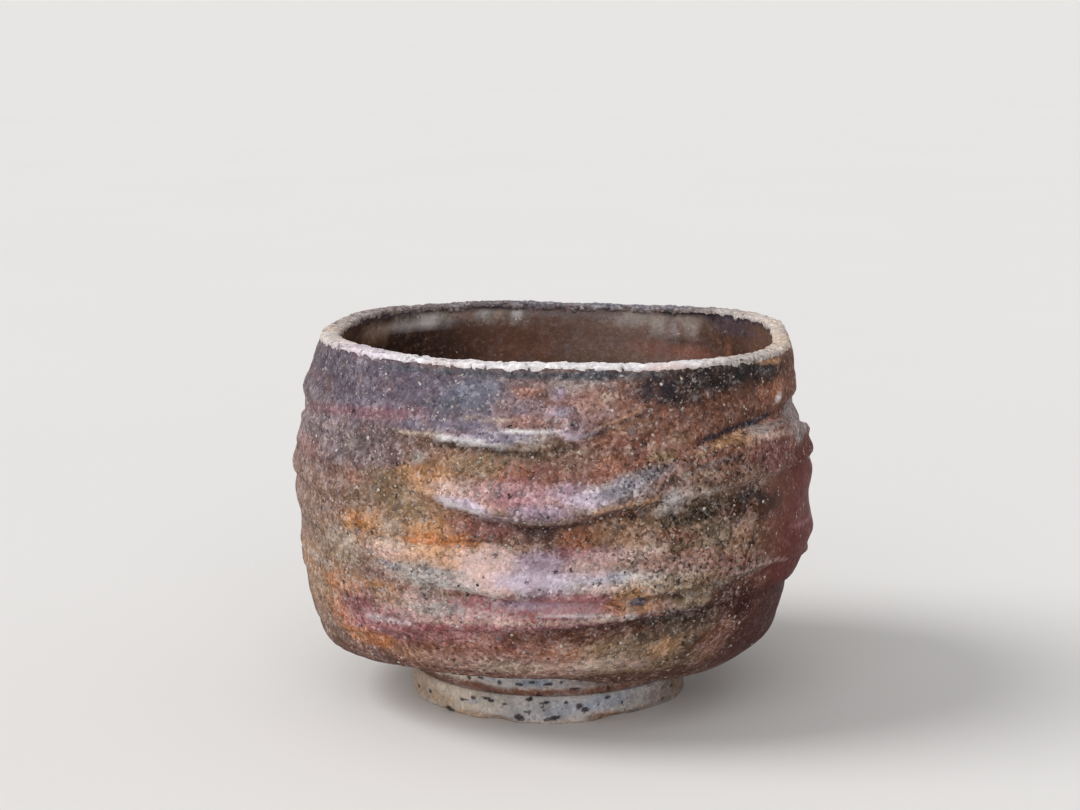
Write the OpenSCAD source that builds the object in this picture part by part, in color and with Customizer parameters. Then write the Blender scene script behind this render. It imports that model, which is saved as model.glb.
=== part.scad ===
// Small footed sake cup in wood-fired stoneware: a thrown bowl, carved with wandering ridges,
// on a turned foot ring. Millimetres, Z up, the foot stands on Z = 0 and the front faces -Y.
// Angles round the cup are degrees from the front towards +X.

/* [Bowl] */
// Widest diameter of the bowl
body_d = 70; // [64:0.5:80]
// Outer diameter of the lip
lip_d = 62.8; // [56:0.2:68]
// Height of the whole cup, midway through the rise and fall of its lip
cup_h = 49.2; // [42:0.2:60]
// Wall thickness at the lip
lip_wall = 2.3; // [1.8:0.1:3.5]
// Wall thickness round the middle
mid_wall = 3.8; // [3.2:0.1:6]
// Floor thickness at the centre
floor_t = 3.8; // [3:0.1:7]
// How far the lip stands to the right of the foot
lean = 1; // [0:0.1:2]
// How square the lip has been pressed, 0 for a round one
lip_square = 0.28; // [0:0.02:0.6]

/* [Ridges] */
// Depth of the cuts along the ridges
carve_depth = 1; // [0.2:0.05:1.2]
// How far a ridge spreads up and down the wall
ridge_spread = 3; // [2:0.1:5]
// Softness of a ridge's edge
ridge_edge = 0.42; // [0.3:0.02:1]
// How much the edge of the underside rises and droops
edge_sag = 1.3; // [0:0.1:1.6]
// Swelling of the lower wall on the left and behind
low_swell = 1.3; // [0:0.1:1.6]
// How far the left and right sides swell and draw in
side_swell = 1; // [0:0.05:1.2]
// Rise and fall of the lip
lip_wave = 1; // [0:0.05:1.2]

/* [Foot] */
// Outer diameter of the foot ring
foot_d = 37.6; // [30:0.2:44]
// Thickness of the foot ring, from the outside to the hollow
foot_wall = 5; // [3.6:0.1:7]
// Height of the foot ring
foot_h = 3.7; // [3:0.1:7]
// How much narrower the foot ring is at its bottom, on the radius
foot_taper = 0.05; // [0:0.05:0.6]
// How much wider the hollow is at its mouth, on the radius
hollow_taper = 0.4; // [0:0.05:0.6]
// Bevel on the bottom edges of the foot ring
foot_bevel = 0.25; // [0.2:0.05:0.8]
// How much narrower the collar above the foot ring is, on the radius
collar_inset = 0.2; // [0:0.05:1]
// Height of the collar
collar_h = 2.7; // [1:0.1:4]
// How far the collar draws in at its waist
collar_waist = 0.3; // [0:0.05:0.8]
// Diameter of the turning nub under the floor
nub_d = 7; // [4:0.5:14]
// Height of the turning nub
nub_h = 0.7; // [0.2:0.1:1.5]

/* [Ash crust] */
// Height of the ash crust on the lip
crust_h = 1.2; // [0.6:0.1:2.5]
// How uneven the crust is
crust_wave = 0.2; // [0:0.02:0.4]

/* [Grains] */
// Number of feldspar grains on the wall
grain_count = 44; // [0:1:90]
// Radius of the largest grain
grain_r = 0.42; // [0.25:0.01:0.45]
// Number of iron specks on the wall
wall_speck_count = 18; // [0:1:60]
// Number of iron specks on the foot ring
foot_speck_count = 14; // [0:1:40]
// Radius of the largest iron speck
speck_r = 0.4; // [0.2:0.01:0.45]
// Thickness of an iron speck
speck_t = 0.12; // [0.06:0.01:0.3]
// Gap left under what is seated on the clay
seat_gap = 0.02; // [0.01:0.01:0.1]

/* [Hidden] */

body_r = body_d / 2;
lip_r = lip_d / 2;
foot_r = foot_d / 2;
hollow_r = foot_r - foot_wall;
collar_r = foot_r - collar_inset;
base_z = foot_h + collar_h;
floor_z = base_z + floor_t;
rim_z = cup_h - crust_h;
inner_r = body_r - mid_wall;
lip_inner_r = lip_r - lip_wall;

// Facets round the cup, bands up the outer wall and up the inside, and points over the crust
around = 72;
outer_bands = 42;
inner_bands = 10;
crust_steps = 6;
grain_sides = 6;
turn = 360;
step_angle = turn / around;
// Smoothness of the turned foot
$fn = 96;

// Outer profile from the collar to the lip. Each row is [place along it,
// share of the way out to the widest radius, share of the way in to the lip, share of the height]
profile_shares = [
    [0, 0, 0, 0],
    [0.05, 0.15, 0, 0.008],
    [0.11, 0.34, 0, 0.024],
    [0.18, 0.53, 0, 0.05],
    [0.26, 0.69, 0, 0.092],
    [0.34, 0.81, 0, 0.157],
    [0.43, 0.9, 0, 0.244],
    [0.52, 0.955, 0, 0.357],
    [0.6, 0.99, 0.01, 0.464],
    [0.68, 1, 0.06, 0.57],
    [0.76, 1, 0.18, 0.683],
    [0.84, 1, 0.4, 0.797],
    [0.91, 1, 0.66, 0.903],
    [1, 1, 1, 1],
];

// Inner profile from the middle of the floor to the lip. Each row is [place along it,
// share of the inner radius, share of the way in to the lip, share of the inner height]
inside_shares = [
    [0, 0, 0, 0],
    [0.12, 0.22, 0, 0.005],
    [0.24, 0.44, 0, 0.028],
    [0.36, 0.64, 0, 0.085],
    [0.48, 0.8, 0, 0.18],
    [0.6, 0.91, 0, 0.32],
    [0.72, 0.975, 0, 0.49],
    [0.82, 1, 0.1, 0.65],
    [0.91, 1, 0.5, 0.83],
    [1, 1, 1, 1],
];

// The ridges. Each row is [angle, height as a share of the cup, rise just above and just below
// the line as shares of the carving depth]
shoulder_shares = [
    [-178, 0.8, 0.3, -0.3], [-140, 0.815, -0.15, 0.1], [-105, 0.785, -0.35, 0.3],
    [-78, 0.794, -0.45, 0.4], [-55, 0.825, -0.3, 0.3], [-35, 0.828, 0.4, -0.2],
    [-18, 0.815, 0.65, -0.35], [-2, 0.815, 0.6, -0.4], [4, 0.838, 0.5, -0.35],
    [16, 0.882, 0.3, -0.3], [26, 0.91, 0.15, -0.1], [40, 0.93, 0.05, 0],
    [75, 0.9, 0, 0], [110, 0.845, 0.1, -0.1], [145, 0.8, 0.4, -0.35],
];
groove_shares = [
    [-180, 0.7, 0, 0], [-120, 0.66, 0, 0], [-60, 0.7, 0, 0], [0, 0.73, 0, 0],
    [20, 0.755, -0.05, 0.05], [30, 0.79, -0.3, 0.4], [38, 0.805, -0.45, 0.6],
    [49, 0.818, -0.85, 0.95], [60, 0.825, -0.85, 1], [72, 0.79, -0.7, 0.95],
    [90, 0.73, -0.5, 0.8], [120, 0.71, -0.3, 0.5], [150, 0.7, 0, 0],
];
main_ridge_shares = [
    [-175, 0.6, 0.3, -0.3], [-140, 0.64, 0.2, -0.2], [-100, 0.7, 0.1, -0.1],
    [-75, 0.715, 0.1, -0.1], [-52, 0.708, 0.1, -0.1], [-37, 0.7, 0.2, -0.2],
    [-23, 0.668, 0.65, -0.5], [-14, 0.64, 0.9, -0.7], [-6, 0.618, 1.05, -0.9],
    [0, 0.617, 1.1, -1], [6, 0.632, 1.05, -0.9], [12, 0.653, 0.95, -0.8],
    [26, 0.668, 0.75, -0.8], [36, 0.683, 0.65, -0.8], [50, 0.695, 0.6, -0.7],
    [70, 0.69, 0.4, -0.5], [95, 0.66, 0.3, -0.25], [130, 0.6, 0.5, -0.4],
];
fine_line_shares = [
    [-180, 0.45, -0.1, 0.15], [-120, 0.5, -0.05, 0.1], [-60, 0.53, 0, 0],
    [-33, 0.545, -0.2, 0.2], [-20, 0.556, -0.3, 0.3], [-5, 0.567, -0.3, 0.2],
    [10, 0.58, -0.15, 0.1], [40, 0.6, 0, 0], [80, 0.56, 0, 0], [130, 0.48, -0.2, 0.2],
];
waist_shares = [
    [-170, 0.36, 0.3, -0.3], [-120, 0.4, 0.2, -0.2], [-80, 0.43, 0.1, -0.1],
    [-46, 0.462, 0.05, 0], [-34, 0.466, 0.15, -0.1], [-25, 0.457, 0.45, -0.3], [-18, 0.445, 0.6, -0.4],
    [-5, 0.421, 0.8, -0.5], [20, 0.427, 0.7, -0.5], [40, 0.445, 0.5, -0.35],
    [50, 0.452, 0.4, -0.3], [62, 0.44, 0.4, -0.35], [80, 0.41, 0.5, -0.4],
    [120, 0.38, 0.4, -0.3],
];
low_ridge_shares = [
    [-175, 0.27, 0.4, -0.3], [-130, 0.25, 0.3, -0.25], [-100, 0.245, 0.2, -0.2],
    [-66, 0.252, 0.3, -0.2], [-46, 0.282, 0.4, -0.3], [-26, 0.325, 0.45, -0.35],
    [-12, 0.337, 0.5, -0.4], [14, 0.354, 0.5, -0.5], [33, 0.371, 0.55, -0.55],
    [45, 0.383, 0.6, -0.6], [55, 0.38, 0.7, -0.75], [68, 0.36, 0.8, -0.95],
    [90, 0.34, 0.8, -1], [130, 0.3, 0.5, -0.4],
];
// Each ridge with its spread upwards and downwards and its softness, as shares of the usual ones
ridge_shares = [
    [shoulder_shares, 0.85, 1.05, 1],
    [groove_shares, 1, 1.3, 2],
    [main_ridge_shares, 1.4, 1.2, 1.1],
    [fine_line_shares, 0.55, 0.75, 1],
    [waist_shares, 1.2, 0.8, 1],
    [low_ridge_shares, 0.85, 1.15, 1],
];

// Rows of [angle, share] for the droop of the underside's edge, the swelling of the
// lower wall, and the rise of the lip and of its crust
sag_shares = [
    [-180, 0.2], [-110, 0.4], [-75, 0.9], [-55, 1.1], [-25, 1.1], [-8, 0.95],
    [6, 0.3], [18, -0.35], [40, -0.9], [58, -1.1], [90, -0.8], [140, -0.3],
];
swell_shares = [
    [-180, 0.3], [-130, 0.8], [-90, 1], [-55, 0.8], [-20, 0.2],
    [0, 0], [40, 0], [70, 0.3], [100, 0.5], [140, 0.2],
];
lip_shares = [
    [-180, -0.27], [-165, 0], [-150, -0.05], [-138, 0.15], [-125, 0.35], [-106, 0], [-90, 0.2],
    [-75, 0.65], [-62, 0.95], [-48, 1.05], [-30, 0.8], [-15, 0.65], [0, 0.65], [20, 0.35], [45, 0.1],
    [72, -0.25], [85, 0], [99, 0.65], [112, 0.45], [128, 0.25], [145, -0.3], [160, -0.5], [172, -0.4],
];
crust_shares = [
    [-180, 0.2], [-140, -0.6], [-110, 0.5], [-85, -0.2], [-60, 0.7], [-38, -0.5], [-20, 0.6],
    [-4, -0.3], [12, 0.4], [30, -0.7], [52, 0.5], [75, -0.4], [100, 0.6], [130, -0.5], [155, 0.7],
];

// How the left and the right side swell and draw in on the way up. Each row is
// [height as a share of the cup, share of the sides' swelling]
left_side_shares = [
    [0, 0], [0.13, 0.3], [0.185, 0.65], [0.24, -0.2], [0.27, -0.55], [0.37, -0.55], [0.4, -0.15],
    [0.47, -0.65], [0.525, -0.75], [0.58, 0], [0.63, -0.1], [0.655, 0.5], [0.72, 0.1],
    [0.765, -0.3], [0.8, 0.25], [0.865, 0.85], [0.92, 0.25], [0.98, 0],
];
right_side_shares = [
    [0, 0], [0.13, 0.5], [0.17, 0.7], [0.21, 0.1], [0.27, -0.6], [0.335, -0.6], [0.365, -1.5],
    [0.405, 0], [0.43, -0.15], [0.475, 0.4], [0.51, 0], [0.56, -0.4], [0.635, 0.15], [0.69, -0.3],
    [0.725, -1], [0.75, -0.8], [0.775, -0.75], [0.805, -1.4], [0.85, -1.2], [0.875, -0.6], [0.98, 0],
];
// Which way the two sides face and how far round they reach, in degrees
left_side_angle = -84;
left_side_reach = 34;
right_side_angle = 84;
right_side_reach = 30;

// Where the sag, the swelling, the sides, the ridges and the lip's rise sit along the profile
sag_place_share = 0.11;
sag_width_share = 0.07;
sag_start_share = 0.09;
swell_place_share = 0.27;
swell_width_share = 0.13;
side_start_share = 0.05;
ridge_start_share = 0.12;
ridge_end_share = 0.06;
lip_rise_share = 0.82;
// The bowl grows square from here up, and is not quite round below
square_start_share = 0.3;
low_square = 0.04;
// Shape of the crust's section and of the grains
crust_round = 0.65;
grain_rise_share = 0.6;
grain_top_share = 0.55;
grain_spread_share = 0.6;
grain_seed = 11;
wall_speck_seed = 23;
foot_speck_seed = 5;
// Part of the wall that carries grains, as shares of its bands, and of the foot ring's height
grain_low_share = 0.24;
grain_high_share = 0.97;
foot_speck_low_share = 0.25;
foot_speck_high_share = 0.85;
// Step along the profile that gives its direction
slope_step = 0.002;

// Steepness of column c at row i of a table
function steepness(rows, i, c) =
    let (a = rows[max(i - 1, 0)], b = rows[min(i + 1, len(rows) - 1)])
    (b[c] - a[c]) / (b[0] - a[0]);

// Row of a table that lies at or below x
function row_below(rows, x, i = 0) =
    i >= len(rows) - 2 || x < rows[i + 1][0] ? i : row_below(rows, x, i + 1);

// Smooth curve through column c of a table, at x
function smooth(rows, x, c = 1) =
    let (
        i = row_below(rows, x),
        p = rows[i],
        q = rows[i + 1],
        w = q[0] - p[0],
        u = min(max((x - p[0]) / w, 0), 1),
        v = 1 - u
    )
    p[c] * (1 + 2 * u) * v ^ 2 + q[c] * u ^ 2 * (3 - 2 * u)
    + steepness(rows, i, c) * w * u * v ^ 2 - steepness(rows, i + 1, c) * w * u ^ 2 * v;

// The same row, a whole turn on or back
function turned(row, angle) = [for (c = [0:len(row) - 1]) c == 0 ? row[0] + angle : row[c]];

// A table of angles, carried on past both ends so that it closes
function closed(rows) = let (n = len(rows)) concat(
    [turned(rows[n - 2], -turn), turned(rows[n - 1], -turn)],
    rows,
    [turned(rows[0], turn), turned(rows[1], turn)]
);

function ramp(x) = min(max(x, 0), 1);
function bell(x, place, width) = exp(-((x - place) / width) ^ 2);
// Degrees from angle b round to angle a, the shorter way
function apart(a, b) = (a - b + 3 * turn / 2) % turn - turn / 2;

// Radius of a pressed circle over that of a round one
function squareness(angle, n) = (abs(cos(angle)) ^ n + abs(sin(angle)) ^ n) ^ (-1 / n);

// Radius and height of the plain outer wall, and of the plain inside
function outer_rz(t) = [
    collar_r + (body_r - collar_r) * smooth(profile_shares, t, 1)
    - (body_r - lip_r) * smooth(profile_shares, t, 2),
    base_z + (rim_z - base_z) * smooth(profile_shares, t, 3)
];
function inner_rz(t) = [
    inner_r * smooth(inside_shares, t, 1) - (inner_r - lip_inner_r) * smooth(inside_shares, t, 2),
    floor_z + (rim_z - floor_z) * smooth(inside_shares, t, 3)
];
function outward(t) =
    let (
        d = outer_rz(min(t + slope_step, 1)) - outer_rz(max(t - slope_step, 0)),
        n = norm(d)
    )
    [d[1] / n, -d[0] / n];

// What the ridges are at one angle: [height, rise above, rise below] for each
ridge_tables = [for (ridge = ridge_shares) closed(ridge[0])];
function ridges_at(angle) = [for (rows = ridge_tables) [
    smooth(rows, angle, 1) * cup_h,
    smooth(rows, angle, 2) * carve_depth,
    smooth(rows, angle, 3) * carve_depth
]];

// Relief of one ridge, d above its line
function ridge_rise(d, at, ridge) =
    let (side = 1 / (1 + exp(-d / (ridge_edge * ridge[3]))))
    side * at[1] * exp(-max(d, 0) / (ridge_spread * ridge[1]))
    + (1 - side) * at[2] * exp(min(d, 0) / (ridge_spread * ridge[2]));
function relief(z, ridges) = vsum(
    [for (i = [0:len(ridges) - 1]) ridge_rise(z - ridges[i][0], ridges[i], ridge_shares[i])]
);
function vsum(v, i = 0) = i >= len(v) ? 0 : v[i] + vsum(v, i + 1);

// Sideways place of the bowl's axis at a height
function axis_x(z) = lean * (z / cup_h - 1 / 2);
function place(angle, r, z) = [axis_x(z) + r * sin(angle), -r * cos(angle), z];

angles = [for (i = [0:around - 1]) i * step_angle - turn / 2];
ridges_round = [for (a = angles) ridges_at(a)];
sag_round = [for (a = angles) edge_sag * smooth(closed(sag_shares), a)];
swell_round = [for (a = angles) low_swell * smooth(closed(swell_shares), a)];
left_round = [for (a = angles) side_swell * bell(apart(a, left_side_angle), 0, left_side_reach)];
right_round = [for (a = angles) side_swell * bell(apart(a, right_side_angle), 0, right_side_reach)];
lip_round = [for (a = angles) lip_wave * smooth(closed(lip_shares), a)];
crust_round_h = [for (a = angles) crust_h * (1 + crust_wave * smooth(closed(crust_shares), a))];

// Swelling of the two sides at facet i, the power of the pressed circle, and the lift that the
// lip's wave gives there, each at the share high of the cup's height
function side_out(i, high) =
    left_round[i] * smooth(left_side_shares, high) + right_round[i] * smooth(right_side_shares, high);
function pressed_power(high) =
    2 + lip_square * ramp((high - square_start_share) / (1 - square_start_share));
function lip_lift(i, high) =
    lip_round[i] * ramp((high - lip_rise_share) / (1 - lip_rise_share));

// One point of the outer wall, at facet i and place t, from the plain profile p and its outward n
function wall_point(i, t, p, n) =
    let (
        a = angles[i],
        high = p[1] / cup_h,
        carved = relief(p[1], ridges_round[i])
            * ramp((t - ridge_start_share) / ridge_start_share)
            * ramp((1 - t) / ridge_end_share),
        swell = swell_round[i] * bell(t, swell_place_share, swell_width_share),
        side = side_out(i, high) * ramp((t - side_start_share) / side_start_share),
        out = carved + swell + side,
        pressed = 1 + (squareness(a, low_square + pressed_power(high)) - 1) * ramp(t / square_start_share),
        sag = sag_round[i] * bell(t, sag_place_share, sag_width_share) * ramp(t / sag_start_share)
    )
    place(a, p[0] * pressed + out * n[0], p[1] + out * n[1] + sag + lip_lift(i, high));

// One point of the inside
function inside_point(i, t) =
    let (a = angles[i], p = inner_rz(t), high = p[1] / cup_h)
    place(a, p[0] * squareness(a, pressed_power(high)), p[1] + lip_lift(i, high));

wall_loops = [for (j = [0:outer_bands]) let (t = j / outer_bands, p = outer_rz(t), n = outward(t))
    [for (i = [0:around - 1]) wall_point(i, t, p, n)]];
inside_loops = [for (j = [0:inner_bands - 1]) let (t = 1 - j / inner_bands)
    [for (i = [0:around - 1]) inside_point(i, t)]];
nub_loop = [for (a = angles) place(a, nub_d / 2, base_z)];

// Two triangles for each facet between loop j and the next one, counted from point first
function band(j, next, first) = [for (i = [0:around - 1]) let (
        k = (i + 1) % around,
        a = first + j * around + i,
        b = first + j * around + k,
        c = first + next * around + k,
        d = first + next * around + i
    ) each [[a, d, c], [a, c, b]]];

// Closed skin over a stack of loops with a point at each end
module capped_skin(start, loops, end) {
    points = concat([start], [for (loop = loops) each loop], [end]);
    last = len(points) - 1;
    top = 1 + (len(loops) - 1) * around;
    faces = concat(
        [for (i = [0:around - 1]) [0, 1 + i, 1 + (i + 1) % around]],
        [for (j = [0:len(loops) - 2]) each band(j, j + 1, 1)],
        [for (i = [0:around - 1]) [top + i, last, top + (i + 1) % around]]
    );
    polyhedron(points, faces);
}

// Closed skin over loops that come round to the first one again
module ring_skin(loops) {
    n = len(loops);
    polyhedron(
        [for (loop = loops) each loop],
        [for (j = [0:n - 1]) each band(j, (j + 1) % n, 0)]
    );
}

// Axes of a flat seat whose outward direction is n
function seat_axes(n) =
    let (u = cross([0, 0, 1], n), x = u / norm(u))
    [x, cross(n, x)];

// A six-sided crystal or flake on a seat, wider at its foot, with its corners a little uneven
module seated_stone(centre, n, r, rise, top_share, twist) {
    axes = seat_axes(n);
    corner = [for (i = [0:grain_sides - 1]) let (a = twist + i * turn / grain_sides)
        r * (1 - (1 - grain_spread_share) / 2 * (i % 2)) * (cos(a) * axes[0] + sin(a) * axes[1])];
    points = concat(
        [for (c = corner) centre + seat_gap * n + c],
        [for (c = corner) centre + (seat_gap + rise) * n + top_share * c]
    );
    last = grain_sides - 1;
    polyhedron(points, concat(
        [[for (i = [0:last]) i]],
        [for (i = [0:last]) let (k = (i + 1) % grain_sides) each [
            [i, i + grain_sides, k + grain_sides],
            [i, k + grain_sides, k]
        ]],
        [[for (i = [0:last]) 2 * grain_sides - 1 - i]]
    ));
}

// Seats on the wall, each the middle of one triangle of a facet: [centre, outward direction]
function wall_seat(u, v) =
    let (
        low = floor(outer_bands * grain_low_share),
        high = floor(outer_bands * grain_high_share) - 1,
        i = min(floor(u * around), around - 1),
        k = (i + 1) % around,
        j = low + floor(v * (high - low)),
        a = wall_loops[j][i],
        c = wall_loops[j + 1][k],
        d = wall_loops[j + 1][i],
        n = cross(c - a, d - a)
    )
    [(a + c + d) / 3, n / norm(n)];

module wall_stones(count, seed, r, rise_share, rise, top_share) {
    chance = rands(0, 1, 3 * count + 1, seed);
    for (i = [0:1:count - 1]) {
        seat = wall_seat((i + chance[3 * i] / 2) / count, chance[3 * i + 1]);
        size = r * (grain_spread_share + (1 - grain_spread_share) * chance[3 * i + 2]);
        seated_stone(seat[0], seat[1], size, rise + rise_share * size, top_share, turn * chance[3 * i]);
    }
}

module on_foot_axis() {
    translate([axis_x(0), 0, 0]) children();
}

module bowl() {
    color([0.47, 0.31, 0.25])
        capped_skin(
            [axis_x(0), 0, base_z - nub_h],
            concat([nub_loop], wall_loops, inside_loops),
            [axis_x(floor_z), 0, floor_z]
        );
}

module foot_collar() {
    color([0.56, 0.47, 0.4])
        on_foot_axis()
            rotate_extrude()
                polygon([
                    [hollow_r, foot_h],
                    [collar_r - collar_waist, foot_h],
                    [collar_r - collar_waist, foot_h + collar_h / 2],
                    [collar_r, base_z],
                    [hollow_r, base_z],
                ]);
}

module foot_ring() {
    bottom_r = foot_r - foot_taper;
    mouth_r = hollow_r + hollow_taper;
    color([0.68, 0.64, 0.59])
        on_foot_axis()
            rotate_extrude()
                polygon([
                    [mouth_r + foot_bevel, 0],
                    [bottom_r - foot_bevel, 0],
                    [bottom_r, foot_bevel],
                    [foot_r, foot_h - foot_bevel],
                    [foot_r - foot_bevel, foot_h],
                    [hollow_r, foot_h],
                    [mouth_r, foot_bevel],
                ]);
}

// Section of the crust at facet i, from the outer edge of the lip over to the inner edge
function crust_section(i) =
    let (
        outside = wall_loops[outer_bands][i],
        inside = inside_loops[0][i],
        middle = (outside + inside) / 2,
        half = (outside - inside) / 2
    )
    [for (k = [0:crust_steps]) let (
            a = k * turn / 2 / crust_steps,
            across = sign(cos(a)) * abs(cos(a)) ^ crust_round
        )
        middle + across * half + [0, 0, seat_gap + crust_round_h[i] * sin(a) ^ crust_round]];

module lip_ash_crust() {
    sections = [for (i = [0:around - 1]) crust_section(i)];
    color([0.86, 0.83, 0.77])
        ring_skin([for (k = [0:crust_steps]) [for (i = [0:around - 1]) sections[i][k]]]);
}

module feldspar_grains() {
    color([0.91, 0.89, 0.85])
        wall_stones(grain_count, grain_seed, grain_r, grain_rise_share, 0, grain_top_share);
}

module iron_specks() {
    chance = rands(0, 1, 3 * foot_speck_count + 1, foot_speck_seed);
    wall_h = foot_h - 2 * foot_bevel;
    slope = [wall_h, -foot_taper] / norm([wall_h, foot_taper]);
    color([0.13, 0.12, 0.13]) {
        wall_stones(wall_speck_count, wall_speck_seed, speck_r, 0, speck_t, grain_spread_share);
        on_foot_axis()
            for (i = [0:1:foot_speck_count - 1]) {
                angle = turn * (i + chance[3 * i] / 2) / foot_speck_count;
                high = foot_speck_low_share
                    + (foot_speck_high_share - foot_speck_low_share) * chance[3 * i + 1];
                z = foot_bevel + wall_h * high;
                r = foot_r - foot_taper * (1 - high);
                size = speck_r * (grain_spread_share + (1 - grain_spread_share) * chance[3 * i + 2]);
                seated_stone(
                    [r * sin(angle), -r * cos(angle), z],
                    [slope[0] * sin(angle), -slope[0] * cos(angle), slope[1]],
                    size, speck_t, grain_spread_share, turn * chance[3 * i]
                );
            }
    }
}

bowl();
foot_collar();
foot_ring();
lip_ash_crust();
feldspar_grains();
iron_specks();
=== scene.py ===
import itertools
import math
import bpy
import numpy as np
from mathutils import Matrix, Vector


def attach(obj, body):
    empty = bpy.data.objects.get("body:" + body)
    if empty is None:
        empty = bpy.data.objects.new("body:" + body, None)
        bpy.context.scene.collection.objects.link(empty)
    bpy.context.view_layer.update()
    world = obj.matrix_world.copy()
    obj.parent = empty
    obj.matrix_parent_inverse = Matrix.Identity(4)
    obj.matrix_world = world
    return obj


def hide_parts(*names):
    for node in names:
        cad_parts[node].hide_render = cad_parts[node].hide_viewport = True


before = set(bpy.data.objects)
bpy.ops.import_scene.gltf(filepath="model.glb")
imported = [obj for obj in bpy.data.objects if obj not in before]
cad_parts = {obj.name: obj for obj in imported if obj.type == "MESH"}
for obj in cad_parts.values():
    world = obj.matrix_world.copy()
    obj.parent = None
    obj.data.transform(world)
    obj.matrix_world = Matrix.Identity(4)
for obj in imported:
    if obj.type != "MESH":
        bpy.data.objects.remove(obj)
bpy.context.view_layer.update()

mm = 0.001     # sizes below are in millimetres; angles run from the front towards +X, in degrees
turn = 360.0
half = 0.5


# Camera

cameraLook = {
    "place": (-1.67, -306.7, 95.1),
    "tiltDown": 10.37,
    "lens": 76.67,
    "sensor": 36.0,
}


def addCamera(look):
    data = bpy.data.cameras.new("photoCamera")
    data.lens = look["lens"]
    data.sensor_width = look["sensor"]
    camera = bpy.data.objects.new("photoCamera", data)
    camera.location = Vector(look["place"]) * mm
    camera.rotation_euler = (math.radians(90 - look["tiltDown"]), 0, 0)
    bpy.context.scene.collection.objects.link(camera)
    bpy.context.scene.camera = camera


addCamera(cameraLook)
print("camera set")


# Tables, noise and meshes

noiseRules = {
    "octaves": 3,
    "seedStep": 31.7,
    "gain": 1.5,
    "hash": (73856093, 19349663, 83492791, 265443576, 1274126177),
}
noiseSeeds = {
    "wander": 3, "sway": 5, "dent": 41, "grit": 43, "throwing": 47, "insideDent": 53, "insideGrit": 59,
    "footRing": 61, "collar": 71, "crustOutside": 83, "crustInside": 89, "crustGrit": 97,
    "crustFine": 101, "cracks": 103, "specks": 131,
}


def smooth(x, rows, column=1, closed=False):
    # a smooth curve through the rows of a table
    rows = np.array([[row[0], row[column]] for row in rows], float)
    if closed:   # a table of angles is carried on past both ends
        rows = np.vstack([rows[-2:] - [turn, 0], rows, rows[:2] + [turn, 0]])
    xs, ys = rows.T
    slopes = np.gradient(ys, xs)
    slopes[1:-1] = (ys[2:] - ys[:-2]) / (xs[2:] - xs[:-2])
    i = np.clip(np.searchsorted(xs, x) - 1, 0, len(xs) - 2)
    width = xs[i + 1] - xs[i]
    u = np.clip((x - xs[i]) / width, 0, 1)
    v = 1 - u
    curve = ys[i] * (1 + 2 * u) * v**2 + ys[i + 1] * u**2 * (3 - 2 * u)
    return curve + slopes[i] * width * u * v**2 - slopes[i + 1] * width * u**2 * v


def allRound(around):
    return np.arange(around) * turn / around - turn / 2


def apart(angle, other):
    return (angle - other + turn / 2) % turn - turn / 2


def ramp(x):
    return np.clip(x, 0, 1)


def softStep(x):
    x = ramp(x)
    return x * x * (3 - 2 * x)


def bell(x, width):
    return np.exp(-(x / width) ** 2)


def cornerChance(corner, seed):
    # the same chance, from nought to one, whenever a corner of the noise's grid asks for it
    fx, fy, fz, fs, mix = noiseRules["hash"]
    h = (corner[..., 0] * fx) ^ (corner[..., 1] * fy) ^ (corner[..., 2] * fz) ^ (seed * fs)
    h = ((h ^ (h >> 13)) * mix) & 0xFFFFFFFF
    return ((h ^ (h >> 15)) & 0xFFFF) / 0xFFFF


def softNoise(points, size, seed, octaves=noiseRules["octaves"]):
    # value noise over points in millimetres, from about -1 to 1
    total = np.zeros(points.shape[:-1])
    weight = 1.0
    weights = 0.0
    for octave in range(octaves):
        q = points / size + noiseRules["seedStep"] * seed
        cell = np.floor(q).astype(np.int64)
        f = q - cell
        f = f * f * (3 - 2 * f)
        near = (1 - f, f)     # the pull of the cell's lower and upper corners, along each axis
        value = 0
        for corner in itertools.product((0, 1), repeat=3):
            x, y, z = [near[up][..., axis] for axis, up in enumerate(corner)]
            value = value + x * y * z * cornerChance(cell + corner, seed + octave)
        total += weight * (2 * value - 1)
        weights += weight
        weight *= half
        size = size * half
    return noiseRules["gain"] * total / weights


def toLinear(colour):
    # from sRGB, as a colour picker shows it
    c = np.array(colour, float) / 255
    return np.where(c <= 0.04045, c / 12.92, ((c + 0.055) / 1.055) ** 2.4)


def meshObject(name, points, faces, smoothShaded=True):
    mesh = bpy.data.meshes.new(name)
    mesh.from_pydata((np.asarray(points) * mm).tolist(), [], faces)
    mesh.update()
    mesh.polygons.foreach_set("use_smooth", [smoothShaded] * len(mesh.polygons))
    obj = bpy.data.objects.new(name, mesh)
    bpy.context.scene.collection.objects.link(obj)
    return obj


def bands(loops, around, closedUp=False, first=0):
    # quads between neighbouring loops of points, outside to the right of the way up
    i = np.arange(around)
    k = (i + 1) % around
    faces = []
    for j in range(loops if closedUp else loops - 1):
        a = first + j * around
        b = first + (j + 1) % loops * around
        faces += np.stack([a + i, a + k, b + k, b + i], 1).tolist()
    return faces


def addFloat(obj, name, values):
    layer = obj.data.attributes.new(name, "FLOAT", "POINT")
    layer.data.foreach_set("value", np.asarray(values, np.float32).ravel())


def addColour(obj, name, values):
    layer = obj.data.attributes.new(name, "FLOAT_COLOR", "POINT")
    rgba = np.ones((len(obj.data.vertices), 4), np.float32)
    rgba[:, :3] = values
    layer.data.foreach_set("color", rgba.ravel())


# The clay form, shared by every piece. It follows the solids.

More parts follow.
